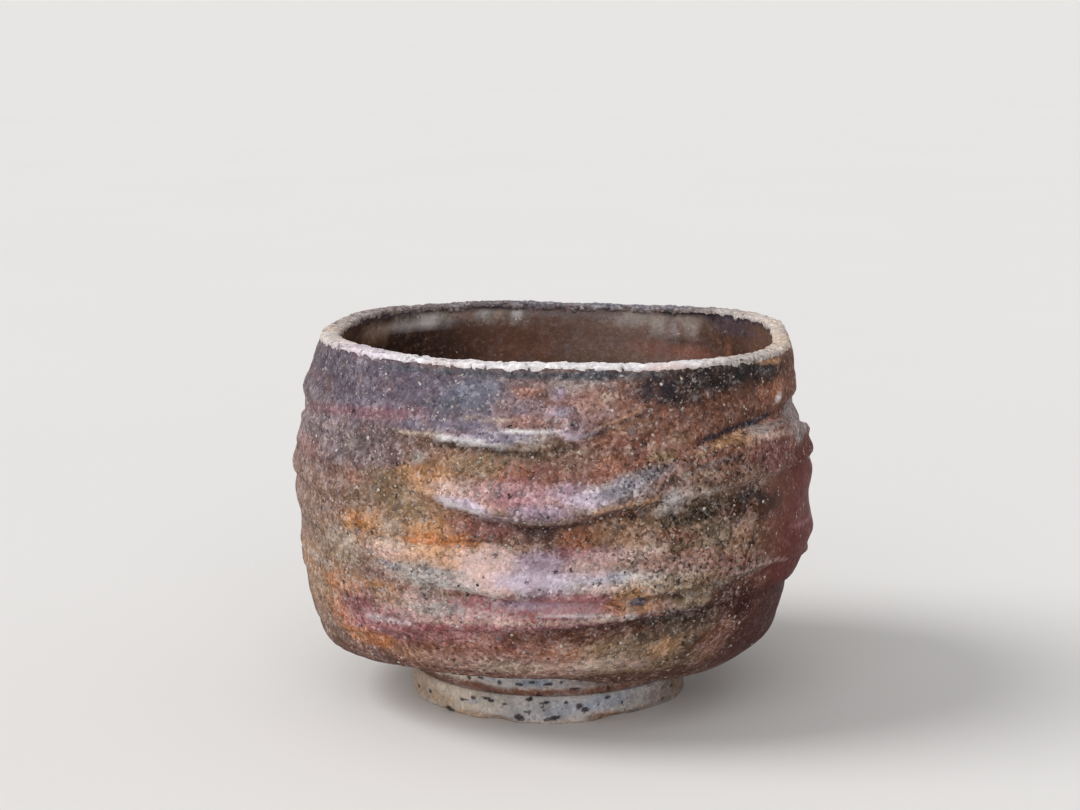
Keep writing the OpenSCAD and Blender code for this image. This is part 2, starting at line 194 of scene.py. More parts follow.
cupForm = {
    "bodyRadius": 35.0,
    "lipRadius": 31.4,
    "height": 49.2,
    "lipWall": 2.3,
    "midWall": 3.8,
    "floor": 3.8,
    "lean": 1.0,
    "lipSquare": 0.28,
    "lowSquare": 0.04,
    "squareFrom": 0.3,
    "footRadius": 18.8,
    "footWall": 5.0,
    "footHeight": 3.7,
    "footTaper": 0.05,
    "hollowTaper": 0.4,
    "footBevel": 0.25,
    "collarInset": 0.2,
    "collarHeight": 2.7,
    "collarWaist": 0.3,
    "nubRadius": 3.5,
    "nubHeight": 0.7,
    "crustHeight": 1.2,
    "crustThick": 0.5,
    "carve": 1.1,
    "ridgeSpread": 3.0,
    "ridgeEdge": 0.15,
    "steepest": 40.0,
    "edgeSag": 1.3,
    "lowSwell": 1.3,
    "lipStart": 0.86,
    # shares of the way along the wall: where each shape starts or lies, and how wide it is
    "carveFrom": 0.12,
    "carveEnd": 0.06,
    "sidesFrom": 0.05,
    "swell": (0.27, 0.13),
    "sag": (0.11, 0.07, 0.09),
    "floorLevel": (0.1, 0.45),
    "slopeStep": 0.002,
}
collarRadius = cupForm["footRadius"] - cupForm["collarInset"]
hollowRadius = cupForm["footRadius"] - cupForm["footWall"]
baseZ = cupForm["footHeight"] + cupForm["collarHeight"]
floorZ = baseZ + cupForm["floor"]
rimZ = cupForm["height"] - cupForm["crustHeight"]

# place along it, share of the way out, share of the way in to the lip, share of the height
profileShares = [
    (0, 0, 0, 0), (0.05, 0.15, 0, 0.008), (0.11, 0.34, 0, 0.024), (0.18, 0.53, 0, 0.05),
    (0.26, 0.69, 0, 0.092), (0.34, 0.81, 0, 0.157), (0.43, 0.9, 0, 0.244), (0.52, 0.955, 0, 0.357),
    (0.6, 0.99, 0.01, 0.464), (0.68, 1, 0.06, 0.57), (0.76, 1, 0.18, 0.683), (0.84, 1, 0.4, 0.797),
    (0.91, 1, 0.66, 0.903), (1, 1, 1, 1),
]
insideShares = [
    (0, 0, 0, 0), (0.12, 0.22, 0, 0.005), (0.24, 0.44, 0, 0.028), (0.36, 0.64, 0, 0.085),
    (0.48, 0.8, 0, 0.18), (0.6, 0.91, 0, 0.32), (0.72, 0.975, 0, 0.49), (0.82, 1, 0.1, 0.65),
    (0.91, 1, 0.5, 0.83), (1, 1, 1, 1),
]
# The ridges: angle, height as a share of the cup, rise just above and just below the line
ridges = {
    "shoulder": {"up": 0.85, "down": 1.05, "line": [
        (-178, 0.8, 0.3, -0.3), (-140, 0.815, -0.15, 0.1), (-105, 0.785, -0.35, 0.3),
        (-78, 0.794, -0.45, 0.4), (-55, 0.825, -0.3, 0.3), (-35, 0.828, 0.4, -0.2),
        (-18, 0.815, 0.65, -0.35), (-2, 0.815, 0.6, -0.4), (4, 0.838, 0.5, -0.35), (16, 0.882, 0.3, -0.3),
        (26, 0.91, 0.15, -0.1), (40, 0.93, 0.05, 0), (75, 0.9, 0, 0), (110, 0.845, 0.1, -0.1),
        (145, 0.8, 0.4, -0.35)]},
    "groove": {"up": 1, "down": 1.3, "line": [
        (-180, 0.7, 0, 0), (-120, 0.66, 0, 0), (-60, 0.7, 0, 0), (0, 0.73, 0, 0), (20, 0.755, -0.05, 0.05),
        (30, 0.79, -0.3, 0.4), (38, 0.805, -0.45, 0.6), (49, 0.818, -0.85, 0.95), (60, 0.825, -0.85, 1),
        (72, 0.79, -0.7, 0.95), (90, 0.73, -0.5, 0.8), (120, 0.71, -0.3, 0.5), (150, 0.7, 0, 0)]},
    "main": {"up": 1.4, "down": 1.2, "edge": 1.1, "line": [
        (-175, 0.6, 0.3, -0.3), (-140, 0.64, 0.2, -0.2), (-100, 0.7, 0.1, -0.1), (-75, 0.715, 0.1, -0.1),
        (-52, 0.708, 0.1, -0.1), (-37, 0.7, 0.2, -0.2), (-23, 0.668, 0.65, -0.5), (-14, 0.64, 0.9, -0.7),
        (-6, 0.618, 1.05, -0.9), (0, 0.617, 1.1, -1), (6, 0.632, 1.05, -0.9), (12, 0.653, 0.95, -0.8),
        (26, 0.668, 0.75, -0.8), (36, 0.683, 0.65, -0.8), (50, 0.695, 0.6, -0.7), (70, 0.69, 0.4, -0.5),
        (95, 0.66, 0.3, -0.25), (130, 0.6, 0.5, -0.4)]},
    "fine": {"up": 0.55, "down": 0.75, "line": [
        (-180, 0.45, -0.1, 0.15), (-120, 0.5, -0.05, 0.1), (-60, 0.53, 0, 0), (-33, 0.545, -0.2, 0.2),
        (-20, 0.556, -0.3, 0.3), (-5, 0.567, -0.3, 0.2), (10, 0.58, -0.15, 0.1), (40, 0.6, 0, 0),
        (80, 0.56, 0, 0), (130, 0.48, -0.2, 0.2)]},
    "waist": {"up": 1.2, "down": 0.8, "line": [
        (-170, 0.36, 0.3, -0.3), (-120, 0.4, 0.2, -0.2), (-80, 0.43, 0.1, -0.1), (-46, 0.462, 0.05, 0),
        (-34, 0.466, 0.15, -0.1), (-25, 0.457, 0.45, -0.3), (-18, 0.445, 0.6, -0.4),
        (-5, 0.421, 0.8, -0.5), (20, 0.427, 0.7, -0.5), (40, 0.445, 0.5, -0.35), (50, 0.452, 0.4, -0.3),
        (62, 0.44, 0.4, -0.35), (80, 0.41, 0.5, -0.4), (120, 0.38, 0.4, -0.3)]},
    "low": {"up": 0.85, "down": 1.15, "line": [
        (-175, 0.27, 0.4, -0.3), (-130, 0.25, 0.3, -0.25), (-100, 0.245, 0.2, -0.2),
        (-66, 0.252, 0.3, -0.2), (-46, 0.282, 0.4, -0.3), (-26, 0.325, 0.45, -0.35),
        (-12, 0.337, 0.5, -0.4), (14, 0.354, 0.5, -0.5), (33, 0.371, 0.55, -0.55), (45, 0.383, 0.6, -0.6),
        (55, 0.38, 0.7, -0.75), (68, 0.36, 0.8, -0.95), (90, 0.34, 0.8, -1), (130, 0.3, 0.5, -0.4)]},
}
# how far the lower edge sags, and how far the lower wall swells, by angle
sagShares = [(-180, 0.2), (-110, 0.4), (-75, 0.9), (-55, 1.1), (-25, 1.1), (-8, 0.95), (6, 0.3),
             (18, -0.35), (40, -0.9), (58, -1.1), (90, -0.8), (140, -0.3)]
swellShares = [(-180, 0.3), (-130, 0.8), (-90, 1), (-55, 0.8), (-20, 0.2), (0, 0), (40, 0), (70, 0.3),
               (100, 0.5), (140, 0.2)]
# how far the wavy lip stands above or below its even height, by angle
lipWaves = [(-180, -0.27), (-168, -0.05), (-160, 0.06), (-150, -0.07), (-141, 0.1), (-130, 0.3),
            (-118, 0.3), (-106, 0), (-95, 0.1), (-85, 0.4), (-75, 0.65), (-65, 0.9), (-56, 1),
            (-48, 1.05), (-40, 0.9), (-30, 0.8), (-15, 0.66), (0, 0.66), (10, 0.5), (20, 0.35),
            (32, 0.25), (45, 0.12), (56, -0.1), (72, -0.25), (85, 0), (99, 0.65), (110, 0.45), (125, 0.3),
            (141, -0.2), (157, -0.5), (171, -0.42)]
# how the left and right sides swell or draw in, by height
leftSide = [(0, 0), (6, 0.3), (7.4, 0.5), (8.5, 0.6), (9.5, 0.7), (10.4, 0.5), (11.9, -0.3), (13.2, -0.6),
            (14.5, -0.5), (16.8, -0.5), (18.1, -0.55), (19.4, -0.1), (20.4, -0.3), (21.8, -0.4),
            (23, -0.68), (25.8, -0.75), (27.2, -0.35), (28.6, 0), (29.9, -0.1), (31.2, -0.1),
            (31.8, 0.55), (32.7, 0.5), (34.2, 0.25), (35.6, 0.1), (37.7, -0.3), (38.9, 0), (39.6, 0.3),
            (41, 0.4), (42.4, 0.85), (43.1, 0.8), (43.8, 0.55), (45.2, 0.25), (46.6, 0.2), (48, 0)]
rightSide = [(0, 0), (6, 0.5), (7.4, 0.75), (8.5, 0.6), (9.7, 0.45), (10.4, 0.1), (12, -0.5),
             (13.2, -0.65), (14.4, -0.6), (15.9, -0.5), (17, -0.65), (17.9, -1.5), (18.9, -0.55),
             (20, 0.05), (21.2, -0.2), (22.5, 0.15), (23.4, 0.45), (24.3, 0.25), (25.2, 0), (27, -0.35),
             (28.6, -0.38), (31.3, 0.15), (32.7, -0.14), (34.2, -0.34), (35.6, -1), (36.6, -0.8),
             (38.3, -0.75), (39.6, -1.4), (41, -1.35), (41.8, -1.25), (42.6, -0.6), (45, -0.4),
             (46.8, -0.1), (48, -0.35)]
sides = [(-84, 34, leftSide), (84, 30, rightSide)]     # angle, half width in degrees, table


def squareness(angle, high, low=0.0):
    # how far out the plan lies next to a circle; it grows squarer towards the lip
    n = 2 + low + cupForm["lipSquare"] * ramp((high - cupForm["squareFrom"]) / (1 - cupForm["squareFrom"]))
    a = np.radians(angle)
    return (np.abs(np.cos(a)) ** n + np.abs(np.sin(a)) ** n) ** (-1 / n)


def lipRise(angle, high):
    # the clay rim stands up into the crust, which is only a thin skin over it
    raised = cupForm["crustHeight"] - cupForm["crustThick"] + smooth(angle, lipWaves, 1, True)
    return raised * softStep((high - cupForm["lipStart"]) / (1 - cupForm["lipStart"]))


def sideShape(angle, z):
    return sum(bell(apart(angle, at), wide) * smooth(z, table) for at, wide, table in sides)


def place(angle, r, z):
    # on the cup's axis, which leans a little
    a = np.radians(angle)
    x = cupForm["lean"] * (z / cupForm["height"] - half) + r * np.sin(a)
    return np.stack(np.broadcast_arrays(x, -r * np.cos(a), z), -1)


def uprightPlace(angle, r, z):
    # on the foot's own axis, which stands upright
    points = place(angle, r, 0 * z)
    points[..., 2] = z
    return points


def plainWall(t):
    f = cupForm
    r = collarRadius + (f["bodyRadius"] - collarRadius) * smooth(t, profileShares, 1)
    r = r - (f["bodyRadius"] - f["lipRadius"]) * smooth(t, profileShares, 2)
    return r, baseZ + (rimZ - baseZ) * smooth(t, profileShares, 3)


def relief(angle, z):
    f = cupForm
    total = np.zeros(np.broadcast(angle, z).shape)
    for ridge in ridges.values():
        line = ridge["line"]
        d = z - smooth(angle, line, 1, True) * f["height"]
        steep = np.clip(d / (f["ridgeEdge"] * ridge.get("edge", 1.0)), -f["steepest"], f["steepest"])
        side = 1 / (1 + np.exp(-steep))
        up = smooth(angle, line, 2, True) * np.exp(-np.maximum(d, 0) / (f["ridgeSpread"] * ridge["up"]))
        down = smooth(angle, line, 3, True) * np.exp(np.minimum(d, 0) / (f["ridgeSpread"] * ridge["down"]))
        total += f["carve"] * (side * up + (1 - side) * down)
    return total


def outerWall(angle, t, grit=0.0):
    f = cupForm
    swellAt, swellWide = f["swell"]
    sagAt, sagWide, sagFrom = f["sag"]
    r, z = plainWall(t)
    r1, z1 = plainWall(np.minimum(t + f["slopeStep"], 1))
    r0, z0 = plainWall(np.maximum(t - f["slopeStep"], 0))
    length = np.hypot(r1 - r0, z1 - z0)
    nr, nz = (z1 - z0) / length, -(r1 - r0) / length
    high = z / f["height"]
    out = relief(angle, z) * ramp((t - f["carveFrom"]) / f["carveFrom"]) * ramp((1 - t) / f["carveEnd"])
    out = out + f["lowSwell"] * smooth(angle, swellShares, 1, True) * bell(t - swellAt, swellWide)
    out = out + sideShape(angle, z) * ramp((t - f["sidesFrom"]) / f["sidesFrom"]) + grit
    pressed = 1 + (squareness(angle, high, f["lowSquare"]) - 1) * ramp(t / f["squareFrom"])
    sag = f["edgeSag"] * smooth(angle, sagShares, 1, True) * bell(t - sagAt, sagWide) * ramp(t / sagFrom)
    return place(angle, r * pressed + out * nr, z + out * nz + sag + lipRise(angle, high))


def insideWall(angle, t, grit=0.0):
    f = cupForm
    levelTo, levelFade = f["floorLevel"]
    wide = f["bodyRadius"] - f["midWall"]
    r = wide * smooth(t, insideShares, 1)
    r = r - (wide - f["lipRadius"] + f["lipWall"]) * smooth(t, insideShares, 2)
    z = floorZ + (rimZ - floorZ) * smooth(t, insideShares, 3)
    high = z / f["height"]
    level = 1 - ramp((t - levelTo) / levelFade)
    return place(angle, r * squareness(angle, high) - grit * (1 - level),
                 z + lipRise(angle, high) + grit * level)


# Fire colours, painted on the clay as patches and streaks with ragged edges; among them are painted shade
# under the ridges, in the groove and the crease, and painted highlights on crests that face the light

palette = {
    "slateMauve": (101, 91, 105), "slateDark": (74, 66, 78), "slateBlue": (110, 115, 130),
    "rose": (128, 92, 100), "lilacGrey": (134, 126, 144), "white": (238, 233, 234),
    "mauveGrey": (128, 113, 118), "slateBrown": (110, 93, 95), "ochre": (160, 120, 92),
    "ochreBright": (182, 132, 88), "orange": (196, 122, 66), "oliveBrown": (110, 89, 70),
    "redBrown": (148, 94, 80), "rust": (136, 90, 72), "rustDark": (102, 66, 52),
    "rustOrange": (166, 104, 74), "dustyRose": (150, 120, 118), "purpleDark": (92, 66, 74),
    "brown": (126, 96, 82), "olive": (128, 106, 82), "cream": (204, 182, 162),
    "pinkCream": (222, 188, 180), "pink": (186, 142, 146), "lilac": (174, 152, 170),
    # shadow and shadowRed are painted shadow, for the dark under the ridges, in the crease, along the low
    # edge and at the collar's top
    "lilacPale": (208, 190, 206), "shadow": (58, 38, 40), "shadowRed": (86, 46, 40),
    "roseRed": (168, 110, 116), "crimson": (146, 80, 80), "tealBlack": (40, 37, 38),
    "oliveDark": (60, 47, 36), "oliveTan": (144, 120, 92), "oliveGrey": (124, 107, 86),
    "maroon": (92, 26, 22), "maroonDark": (60, 22, 19), "maroonRose": (126, 78, 74),
    "blueGrey": (150, 148, 160), "tanCrest": (206, 156, 116), "haze": (172, 160, 158),
    "tan": (164, 130, 102), "darkBlue": (54, 56, 78), "greyBrown": (140, 112, 98),
    "greyCream": (178, 168, 160), "peach": (226, 178, 148), "stoneGrey": (180, 178, 180),
    "paleStone": (206, 200, 198), "icyBlue": (160, 170, 186), "inkBlue": (36, 38, 50),
    "rosyTan": (170, 132, 120), "blackBrown": (48, 35, 32), "inkTeal": (76, 80, 88), "wine": (134, 84, 86),
    # coffee paints the near-black shade on the left inner wall, painted shade; the foot's cream and tan
    # here are paler lit copies for the foot's lit left side, painted light
    "coffee": (46, 30, 24), "litFootCream": (236, 220, 200), "litFootTan": (204, 172, 138),
    "walnut": (112, 82, 68), "clayGrey": (142, 116, 106),
}
# colour, angle, height, half width in degrees, half height, strength, and climb per degree if any
outsidePatches = [
    ("brown", 0, 25, 400, 60, 1), ("slateMauve", -48, 45.5, 48, 4.6, 0.95),
    ("slateDark", -70, 47.5, 22, 2.6, 0.6), ("rust", 40, 42, 40, 5.5, 0.95),
    ("maroon", 80, 22, 33, 19, 0.97), ("maroonDark", 70, 13, 28, 6, 0.9),
    ("ochre", -27, 31, 22, 8.5, 0.75), ("mauveGrey", -64, 38.5, 20, 4.6, 0.85),
    ("greyBrown", -68, 29, 18, 7, 0.85), ("oliveTan", 28, 27, 17, 6, 0.75),
    ("rust", 40, 26.5, 12, 4.5, 0.45), ("redBrown", 8, 37, 18, 4, 0.7),
    ("redBrown", -16, 13.4, 32, 3.6, 0.85), ("greyBrown", -6, 11.2, 26, 1.6, 0.8),
    ("oliveTan", 20, 12.6, 20, 3.6, 0.75), ("roseRed", -22, 18, 38, 3.2, 0.75, 0.03),
    ("tan", -66, 19, 14, 5, 0.85), ("slateBlue", -18, 45.9, 7, 2.2, 0.65),
    ("inkTeal", -24, 44.6, 5, 0.8, 0.5), ("slateDark", -74, 44.6, 10, 3, 0.6),
    ("dustyRose", 0, 44.6, 12, 3.2, 0.95), ("lilacGrey", -7, 44.4, 3, 0.9, 0.5),
    ("greyCream", 5, 47.2, 8, 0.9, 0.35), ("rustOrange", -6, 46.4, 3.5, 0.8, 0.5),
    ("dustyRose", -5, 45.2, 4, 0.8, 0.5), ("rustOrange", 1, 45.2, 3, 0.8, 0.4),
    ("slateBrown", -66, 43.8, 14, 2, 0.75), ("slateDark", -58, 45.4, 16, 2.4, 0.4),
    ("slateMauve", -48, 43.6, 8, 1, 0.5), ("purpleDark", -72, 45.2, 9, 0.7, 0.5),
    ("lilacGrey", -20, 42.2, 7, 0.9, 0.7, 0.02), ("slateMauve", -31, 42.6, 5, 0.9, 0.7),
    ("lilacPale", -16, 40.7, 6, 0.5, 0.8, -0.02), ("slateMauve", -29, 42, 5, 0.9, 0.85),
    ("rustOrange", -5.5, 42.9, 3.5, 0.7, 0.4), ("icyBlue", 0.5, 43.9, 1.3, 0.4, 0.7),
    ("greyCream", -6, 40.9, 5, 0.8, 0.8, 0.03), ("brown", 2, 40.5, 4, 0.5, 0.7, 0.1),
    ("lilacGrey", -11, 41.2, 7, 0.8, 0.8), ("lilac", 0.5, 46.4, 1.6, 0.8, 0.7),
    ("lilac", 0.5, 44.2, 2.6, 0.8, 0.55), ("redBrown", 8, 45.6, 5, 1.4, 0.5),
    # the ink teal patch under the crust is partly a stain and partly painted shade below the crust's edge
    ("inkTeal", 12, 48.3, 15, 0.6, 0.8), ("haze", 10, 47.3, 5, 0.9, 0.4),
    ("redBrown", -66, 36.4, 10, 1.4, 0.4), ("lilacPale", 3.2, 42.2, 2.4, 0.8, 0.5),
    ("rust", 14, 46.3, 6, 2, 0.7), ("tealBlack", 38, 47.2, 15, 2, 0.97, 0.005),
    ("inkBlue", 23, 46.6, 6, 1.5, 0.85), ("tealBlack", 28, 45.2, 4, 1, 0.8),
    ("blackBrown", 31, 44.6, 2.2, 0.8, 0.8), ("blackBrown", 52, 46.8, 13, 1.5, 0.9),
    ("tealBlack", 50, 47, 10, 1.4, 0.9), ("rustDark", 68, 46.4, 8, 2, 0.85),
    ("rustDark", 48, 45.2, 8, 1.3, 0.7), ("tanCrest", 56, 48.1, 7, 0.35, 0.8, -0.04),
    ("rustDark", 42, 43.6, 14, 1.6, 0.7), ("rustOrange", 56, 44.4, 7, 1.2, 0.6),
    ("white", 57.6, 43.3, 1.5, 0.45, 0.9, 0.12), ("rustDark", 64, 42, 6, 1.8, 0.7),
    ("rustDark", 22, 41.5, 9, 1.4, 0.4, 0.05), ("ochre", 15, 42.5, 5, 0.9, 0.6, 0.08),
    ("rosyTan", 17.5, 41.9, 4, 0.7, 0.55, 0.05), ("rustDark", 46, 41.9, 8, 0.7, 0.8, 0.03),
    # the haze patches at 68 and 80 degrees are painted light on the lit shelf at the right edge
    ("tan", 44, 39.5, 7, 0.8, 0.6), ("haze", 68, 39.4, 7, 2.2, 0.8), ("haze", 80, 40, 9, 3.4, 0.6),
    ("maroonRose", 51, 36.8, 8, 1.9, 0.85), ("blackBrown", 38, 37.4, 3.5, 0.5, 0.7, 0.03),
    ("slateBrown", -42, 38.3, 12, 2.4, 0.85), ("greyCream", -57, 37.8, 2, 0.6, 0.4),
    ("greyCream", -47, 38.4, 1.6, 0.6, 0.6), ("purpleDark", -54, 34.5, 4, 1.5, 0.8),
    ("brown", -50, 33.2, 9, 2.8, 0.75), ("redBrown", -44, 34.4, 4, 1, 0.6),
    ("slateBrown", -37, 39.6, 5, 1.2, 0.6), ("olive", -36, 34, 7, 2.2, 0.75),
    ("oliveBrown", -44, 31.4, 5, 1.2, 0.5), ("brown", -29, 38.8, 5, 1, 0.55),
    ("greyCream", -29, 37.9, 1.6, 0.6, 0.6), ("ochreBright", -28, 36.2, 6, 1, 0.5),
    ("oliveBrown", -4, 39, 10, 1.1, 0.8), ("brown", 6, 38.8, 8, 1.2, 0.75),
    ("oliveTan", -16, 37.6, 7, 1.2, 0.6), ("rustOrange", -8.5, 36.8, 3.5, 0.9, 0.6),
    ("crimson", -7, 36, 3, 0.6, 0.5), ("redBrown", -5, 35.8, 3, 0.6, 0.6),
    ("rustOrange", 12, 37.8, 5, 1.2, 0.45), ("brown", 3, 37.6, 5, 1, 0.5),
    ("oliveTan", 22.5, 38.5, 2.8, 0.8, 0.8), ("slateBlue", 16, 41.7, 0.8, 0.4, 0.5),
    ("cream", 19.6, 39.8, 0.8, 0.45, 0.75), ("cream", 15, 39.4, 0.8, 0.4, 0.6),
    ("blackBrown", 18.6, 40, 0.6, 0.35, 0.9), ("tan", 26, 40.6, 3, 0.8, 0.5),
    ("rosyTan", 8, 44.9, 4, 0.9, 0.6, 0.05), ("cream", 11, 45.9, 1.6, 0.5, 0.6),
    ("ochreBright", -26, 35, 4.5, 1.3, 0.6), ("pinkCream", -19, 34.6, 6, 1, 0.65, -0.04),
    ("lilacPale", -18, 32.7, 5.4, 0.9, 0.9, -0.12), ("pink", -8, 34.2, 8, 1.6, 0.9, -0.03),
    ("roseRed", -9, 33.4, 4, 0.7, 0.5, -0.05), ("lilac", -3, 32.1, 6, 0.9, 0.8),
    ("purpleDark", -4, 31.6, 4.5, 0.4, 0.5), ("lilac", 3, 34.6, 5, 1.2, 0.7),
    # the pale patches in the next five rows, over the main ridge on the right front, are partly pale ash
    # and partly painted highlight on its upward face
    ("haze", 19, 36.6, 7, 0.9, 0.6, 0.06), ("paleStone", 9, 35, 4, 0.7, 0.5, 0.05),
    ("blueGrey", 17, 36, 6.5, 0.8, 0.65, 0.09), ("lilacPale", 7, 33.8, 4.5, 1.1, 0.9, 0.08),
    ("blueGrey", 13, 34.6, 5, 0.9, 0.85, 0.09), ("haze", 25, 33.3, 3.4, 1.2, 0.9, 0.05),
    ("paleStone", 24, 32.9, 1.6, 0.8, 0.7, 0.2), ("greyCream", 33, 33.7, 3, 0.6, 0.7, 0.02),
    ("haze", 9, 32.6, 5, 0.5, 0.6, 0.08), ("haze", 17, 34.4, 5, 0.8, 0.55, 0.08),
    ("rosyTan", 26, 36, 5, 0.8, 0.6), ("tan", 29, 36, 4, 0.7, 0.6), ("greyBrown", 45, 34.2, 9, 0.8, 0.6),
    ("rustDark", 43, 29.4, 5, 1, 0.6), ("rustDark", 42.5, 41.2, 4, 0.5, 0.6),
    # the dark olive and black-brown patches here are painted shadow in the hollow under the main ridge on
    # the right
    ("oliveDark", 34, 31.2, 13, 1.4, 0.92, 0.03), ("blackBrown", 47, 30.6, 7, 1.8, 0.8),
    ("rustDark", 42, 30.2, 7, 1.6, 0.75), ("rustDark", 46, 26.8, 6, 1.4, 0.6),
    ("greyCream", 24, 31.8, 4, 0.6, 0.5, 0.05), ("oliveDark", 21.3, 33.1, 0.8, 1, 0.9),
    # the teal-black patch at 44 degrees is painted shadow under the main ridge
    ("tealBlack", 44, 32, 5, 0.9, 0.6), ("rustDark", 12, 31.2, 7, 0.7, 0.8, 0.06),
    ("wine", -13, 29.6, 6, 1.2, 0.75), ("lilac", -12, 31.2, 5, 0.4, 0.55),
    ("redBrown", -19, 30.2, 4, 1.2, 0.7), ("mauveGrey", -5, 31, 6, 0.5, 0.5),
    # the shadow patch at the front is painted shadow under the main ridge
    ("shadow", -2, 29.4, 6.5, 1.1, 0.7), ("ochreBright", -26, 29.3, 5, 1.4, 0.85),
    ("oliveTan", -31, 31.5, 5, 1.6, 0.7), ("cream", -35.5, 29.3, 3.6, 1.2, 0.65),
    ("ochreBright", -43, 28.9, 6, 1.5, 0.85), ("orange", -44, 29.3, 3, 0.8, 0.5),
    ("purpleDark", -43.5, 27.7, 1, 0.5, 0.85), ("orange", -23, 28.4, 6, 0.9, 0.8),
    ("rustOrange", 5, 28.6, 5, 1.6, 0.8), ("ochre", 14, 28.8, 6, 1.6, 0.8),
    ("oliveGrey", 34, 27.8, 5, 2, 0.7), ("redBrown", 24, 28.4, 5, 1, 0.6),
    ("ochre", 42, 27.5, 4, 1.8, 0.6), ("peach", -33, 26, 7, 1.5, 0.75),
    ("pinkCream", -36, 26, 5, 0.9, 0.5), ("ochre", -24, 27.3, 3, 0.5, 0.4),
    ("peach", -22, 25.9, 8, 1.7, 0.95, -0.02), ("ochreBright", -25, 26.9, 5, 0.7, 0.6),
    ("pinkCream", -13, 25.2, 7, 2, 0.95, -0.02), ("lilac", -2.5, 25.6, 6, 1.6, 0.85),
    ("mauveGrey", -4, 25, 3, 1.2, 0.4), ("cream", 24, 24.3, 4, 0.9, 0.55),
    ("crimson", 2, 27, 4, 0.8, 0.65), ("pink", 9, 26.4, 6, 1.1, 0.7), ("tan", -52, 25.5, 8, 2.8, 0.7),
    ("greyCream", -50, 26, 5, 1.5, 0.5), ("tan", -50, 21.6, 6, 1.2, 0.6), ("cream", -34, 27, 6, 0.8, 0.5),
    ("redBrown", 27, 25.6, 8, 1, 0.5), ("pinkCream", 16, 26.4, 6, 1, 0.55),
    ("greyCream", -31, 23.4, 9, 1.2, 0.65, -0.03), ("rosyTan", -38, 22.6, 6, 1, 0.6),
    ("slateBlue", -34, 24.2, 3.4, 0.5, 0.6, -0.06), ("slateBlue", -25, 24.2, 2.6, 0.35, 0.7, -0.04),
    ("white", -28, 23, 3, 0.6, 0.6, -0.02), ("white", -22.6, 22.6, 1.5, 0.5, 0.6),
    ("blackBrown", -26, 21.5, 2.2, 0.35, 0.8), ("pinkCream", -14, 23, 8, 1.2, 0.95, -0.05),
    ("lilacPale", -2, 23.4, 9, 1.5, 0.95), ("lilacPale", 9, 23.5, 6, 1.2, 0.8),
    ("white", 17, 23.8, 6, 0.8, 0.65), ("cream", 24, 23.4, 4, 0.8, 0.6),
    ("paleStone", 7, 22.9, 5, 0.8, 0.6), ("cream", 15, 22.8, 4, 0.7, 0.6),
    ("paleStone", 28, 23.7, 4, 0.6, 0.5), ("pinkCream", 7, 25, 5, 0.9, 0.6),
    ("rosyTan", 22, 24.8, 7, 1.1, 0.9), ("rosyTan", 32, 24.6, 6, 1, 0.7),
    ("pinkCream", 10, 22.4, 5, 0.7, 0.65), ("cream", 19, 22.4, 6, 0.7, 0.6),
    ("paleStone", -24, 23.8, 6, 0.8, 0.5), ("paleStone", -19, 22.4, 4, 0.6, 0.6),
    ("cream", -47, 25.2, 5, 2.2, 0.4), ("greyCream", -28, 22.8, 5, 0.8, 0.6),
    ("greyCream", -28, 24.6, 6, 0.7, 0.6), ("icyBlue", 13, 23.8, 2, 0.6, 0.5),
    ("blueGrey", 11, 23.4, 3, 0.5, 0.55), ("oliveTan", 27, 23, 4.5, 1.1, 0.6),
    ("greyCream", -26, 22, 4, 0.6, 0.4), ("maroonRose", 38, 24, 6, 1, 0.6),
    ("purpleDark", 45, 22.8, 5, 1, 0.75), ("oliveGrey", 35, 21.4, 8, 0.9, 0.6, 0.03),
    ("greyBrown", 46, 23, 6, 0.9, 0.6), ("olive", -56, 24.5, 9, 2, 0.6),
    ("greyCream", -62, 21.8, 6, 0.6, 0.6), ("roseRed", -8, 20.9, 8, 0.8, 0.6),
    ("lilac", -3, 20.3, 9, 0.7, 0.7), ("purpleDark", -5, 21.5, 7, 0.3, 0.6),
    ("maroonRose", -14, 21.2, 6, 0.6, 0.7), ("roseRed", 5, 20.9, 6, 0.7, 0.8),
    ("ochreBright", -41, 20.8, 6, 0.8, 0.7), ("oliveGrey", -26, 20.8, 6, 0.6, 0.8),
    ("ochreBright", 17, 20.5, 5, 1.9, 0.9), ("rustOrange", 12.5, 19.6, 2.4, 1.2, 0.7),
    ("darkBlue", 18, 20.3, 1.6, 0.75, 0.95), ("oliveDark", 24, 20.8, 6, 0.6, 0.6),
    ("orange", -54, 19.5, 5, 1.6, 0.55), ("oliveGrey", -60, 18.2, 1.7, 0.7, 0.7),
    ("maroonRose", -46, 17.9, 6, 1.2, 0.6), ("roseRed", -46, 19.8, 4, 0.8, 0.4),
    ("tan", -36, 19.3, 6, 1.3, 0.8), ("pinkCream", -30, 18, 8, 0.9, 0.5),
    ("pinkCream", -28, 20.2, 5, 0.9, 0.7), ("rosyTan", -46, 19.8, 5, 1.2, 0.6),
    ("ochreBright", -48, 19.8, 4, 1.4, 0.5), ("pinkCream", -12, 18.3, 7, 0.8, 0.5),
    ("greyCream", -25, 19, 7, 0.9, 0.75), ("crimson", -4, 18.4, 4, 0.6, 0.6, 0.02),
    ("pink", 4, 19.2, 6, 0.8, 0.6, 0.02), ("oliveTan", 31, 19.9, 6, 0.8, 0.8, 0.04),
    ("white", 16, 18.4, 1.7, 0.35, 0.7), ("crimson", -28, 16.2, 9, 0.7, 0.75, 0.05),
    # the black-brown patch at 28 degrees, and the dark olive one below it, are painted shadow under the
    # low ridge
    ("maroonDark", 10, 17, 12, 0.9, 0.8, 0.05), ("blackBrown", 28, 17.8, 12, 1.3, 0.92, 0.07),
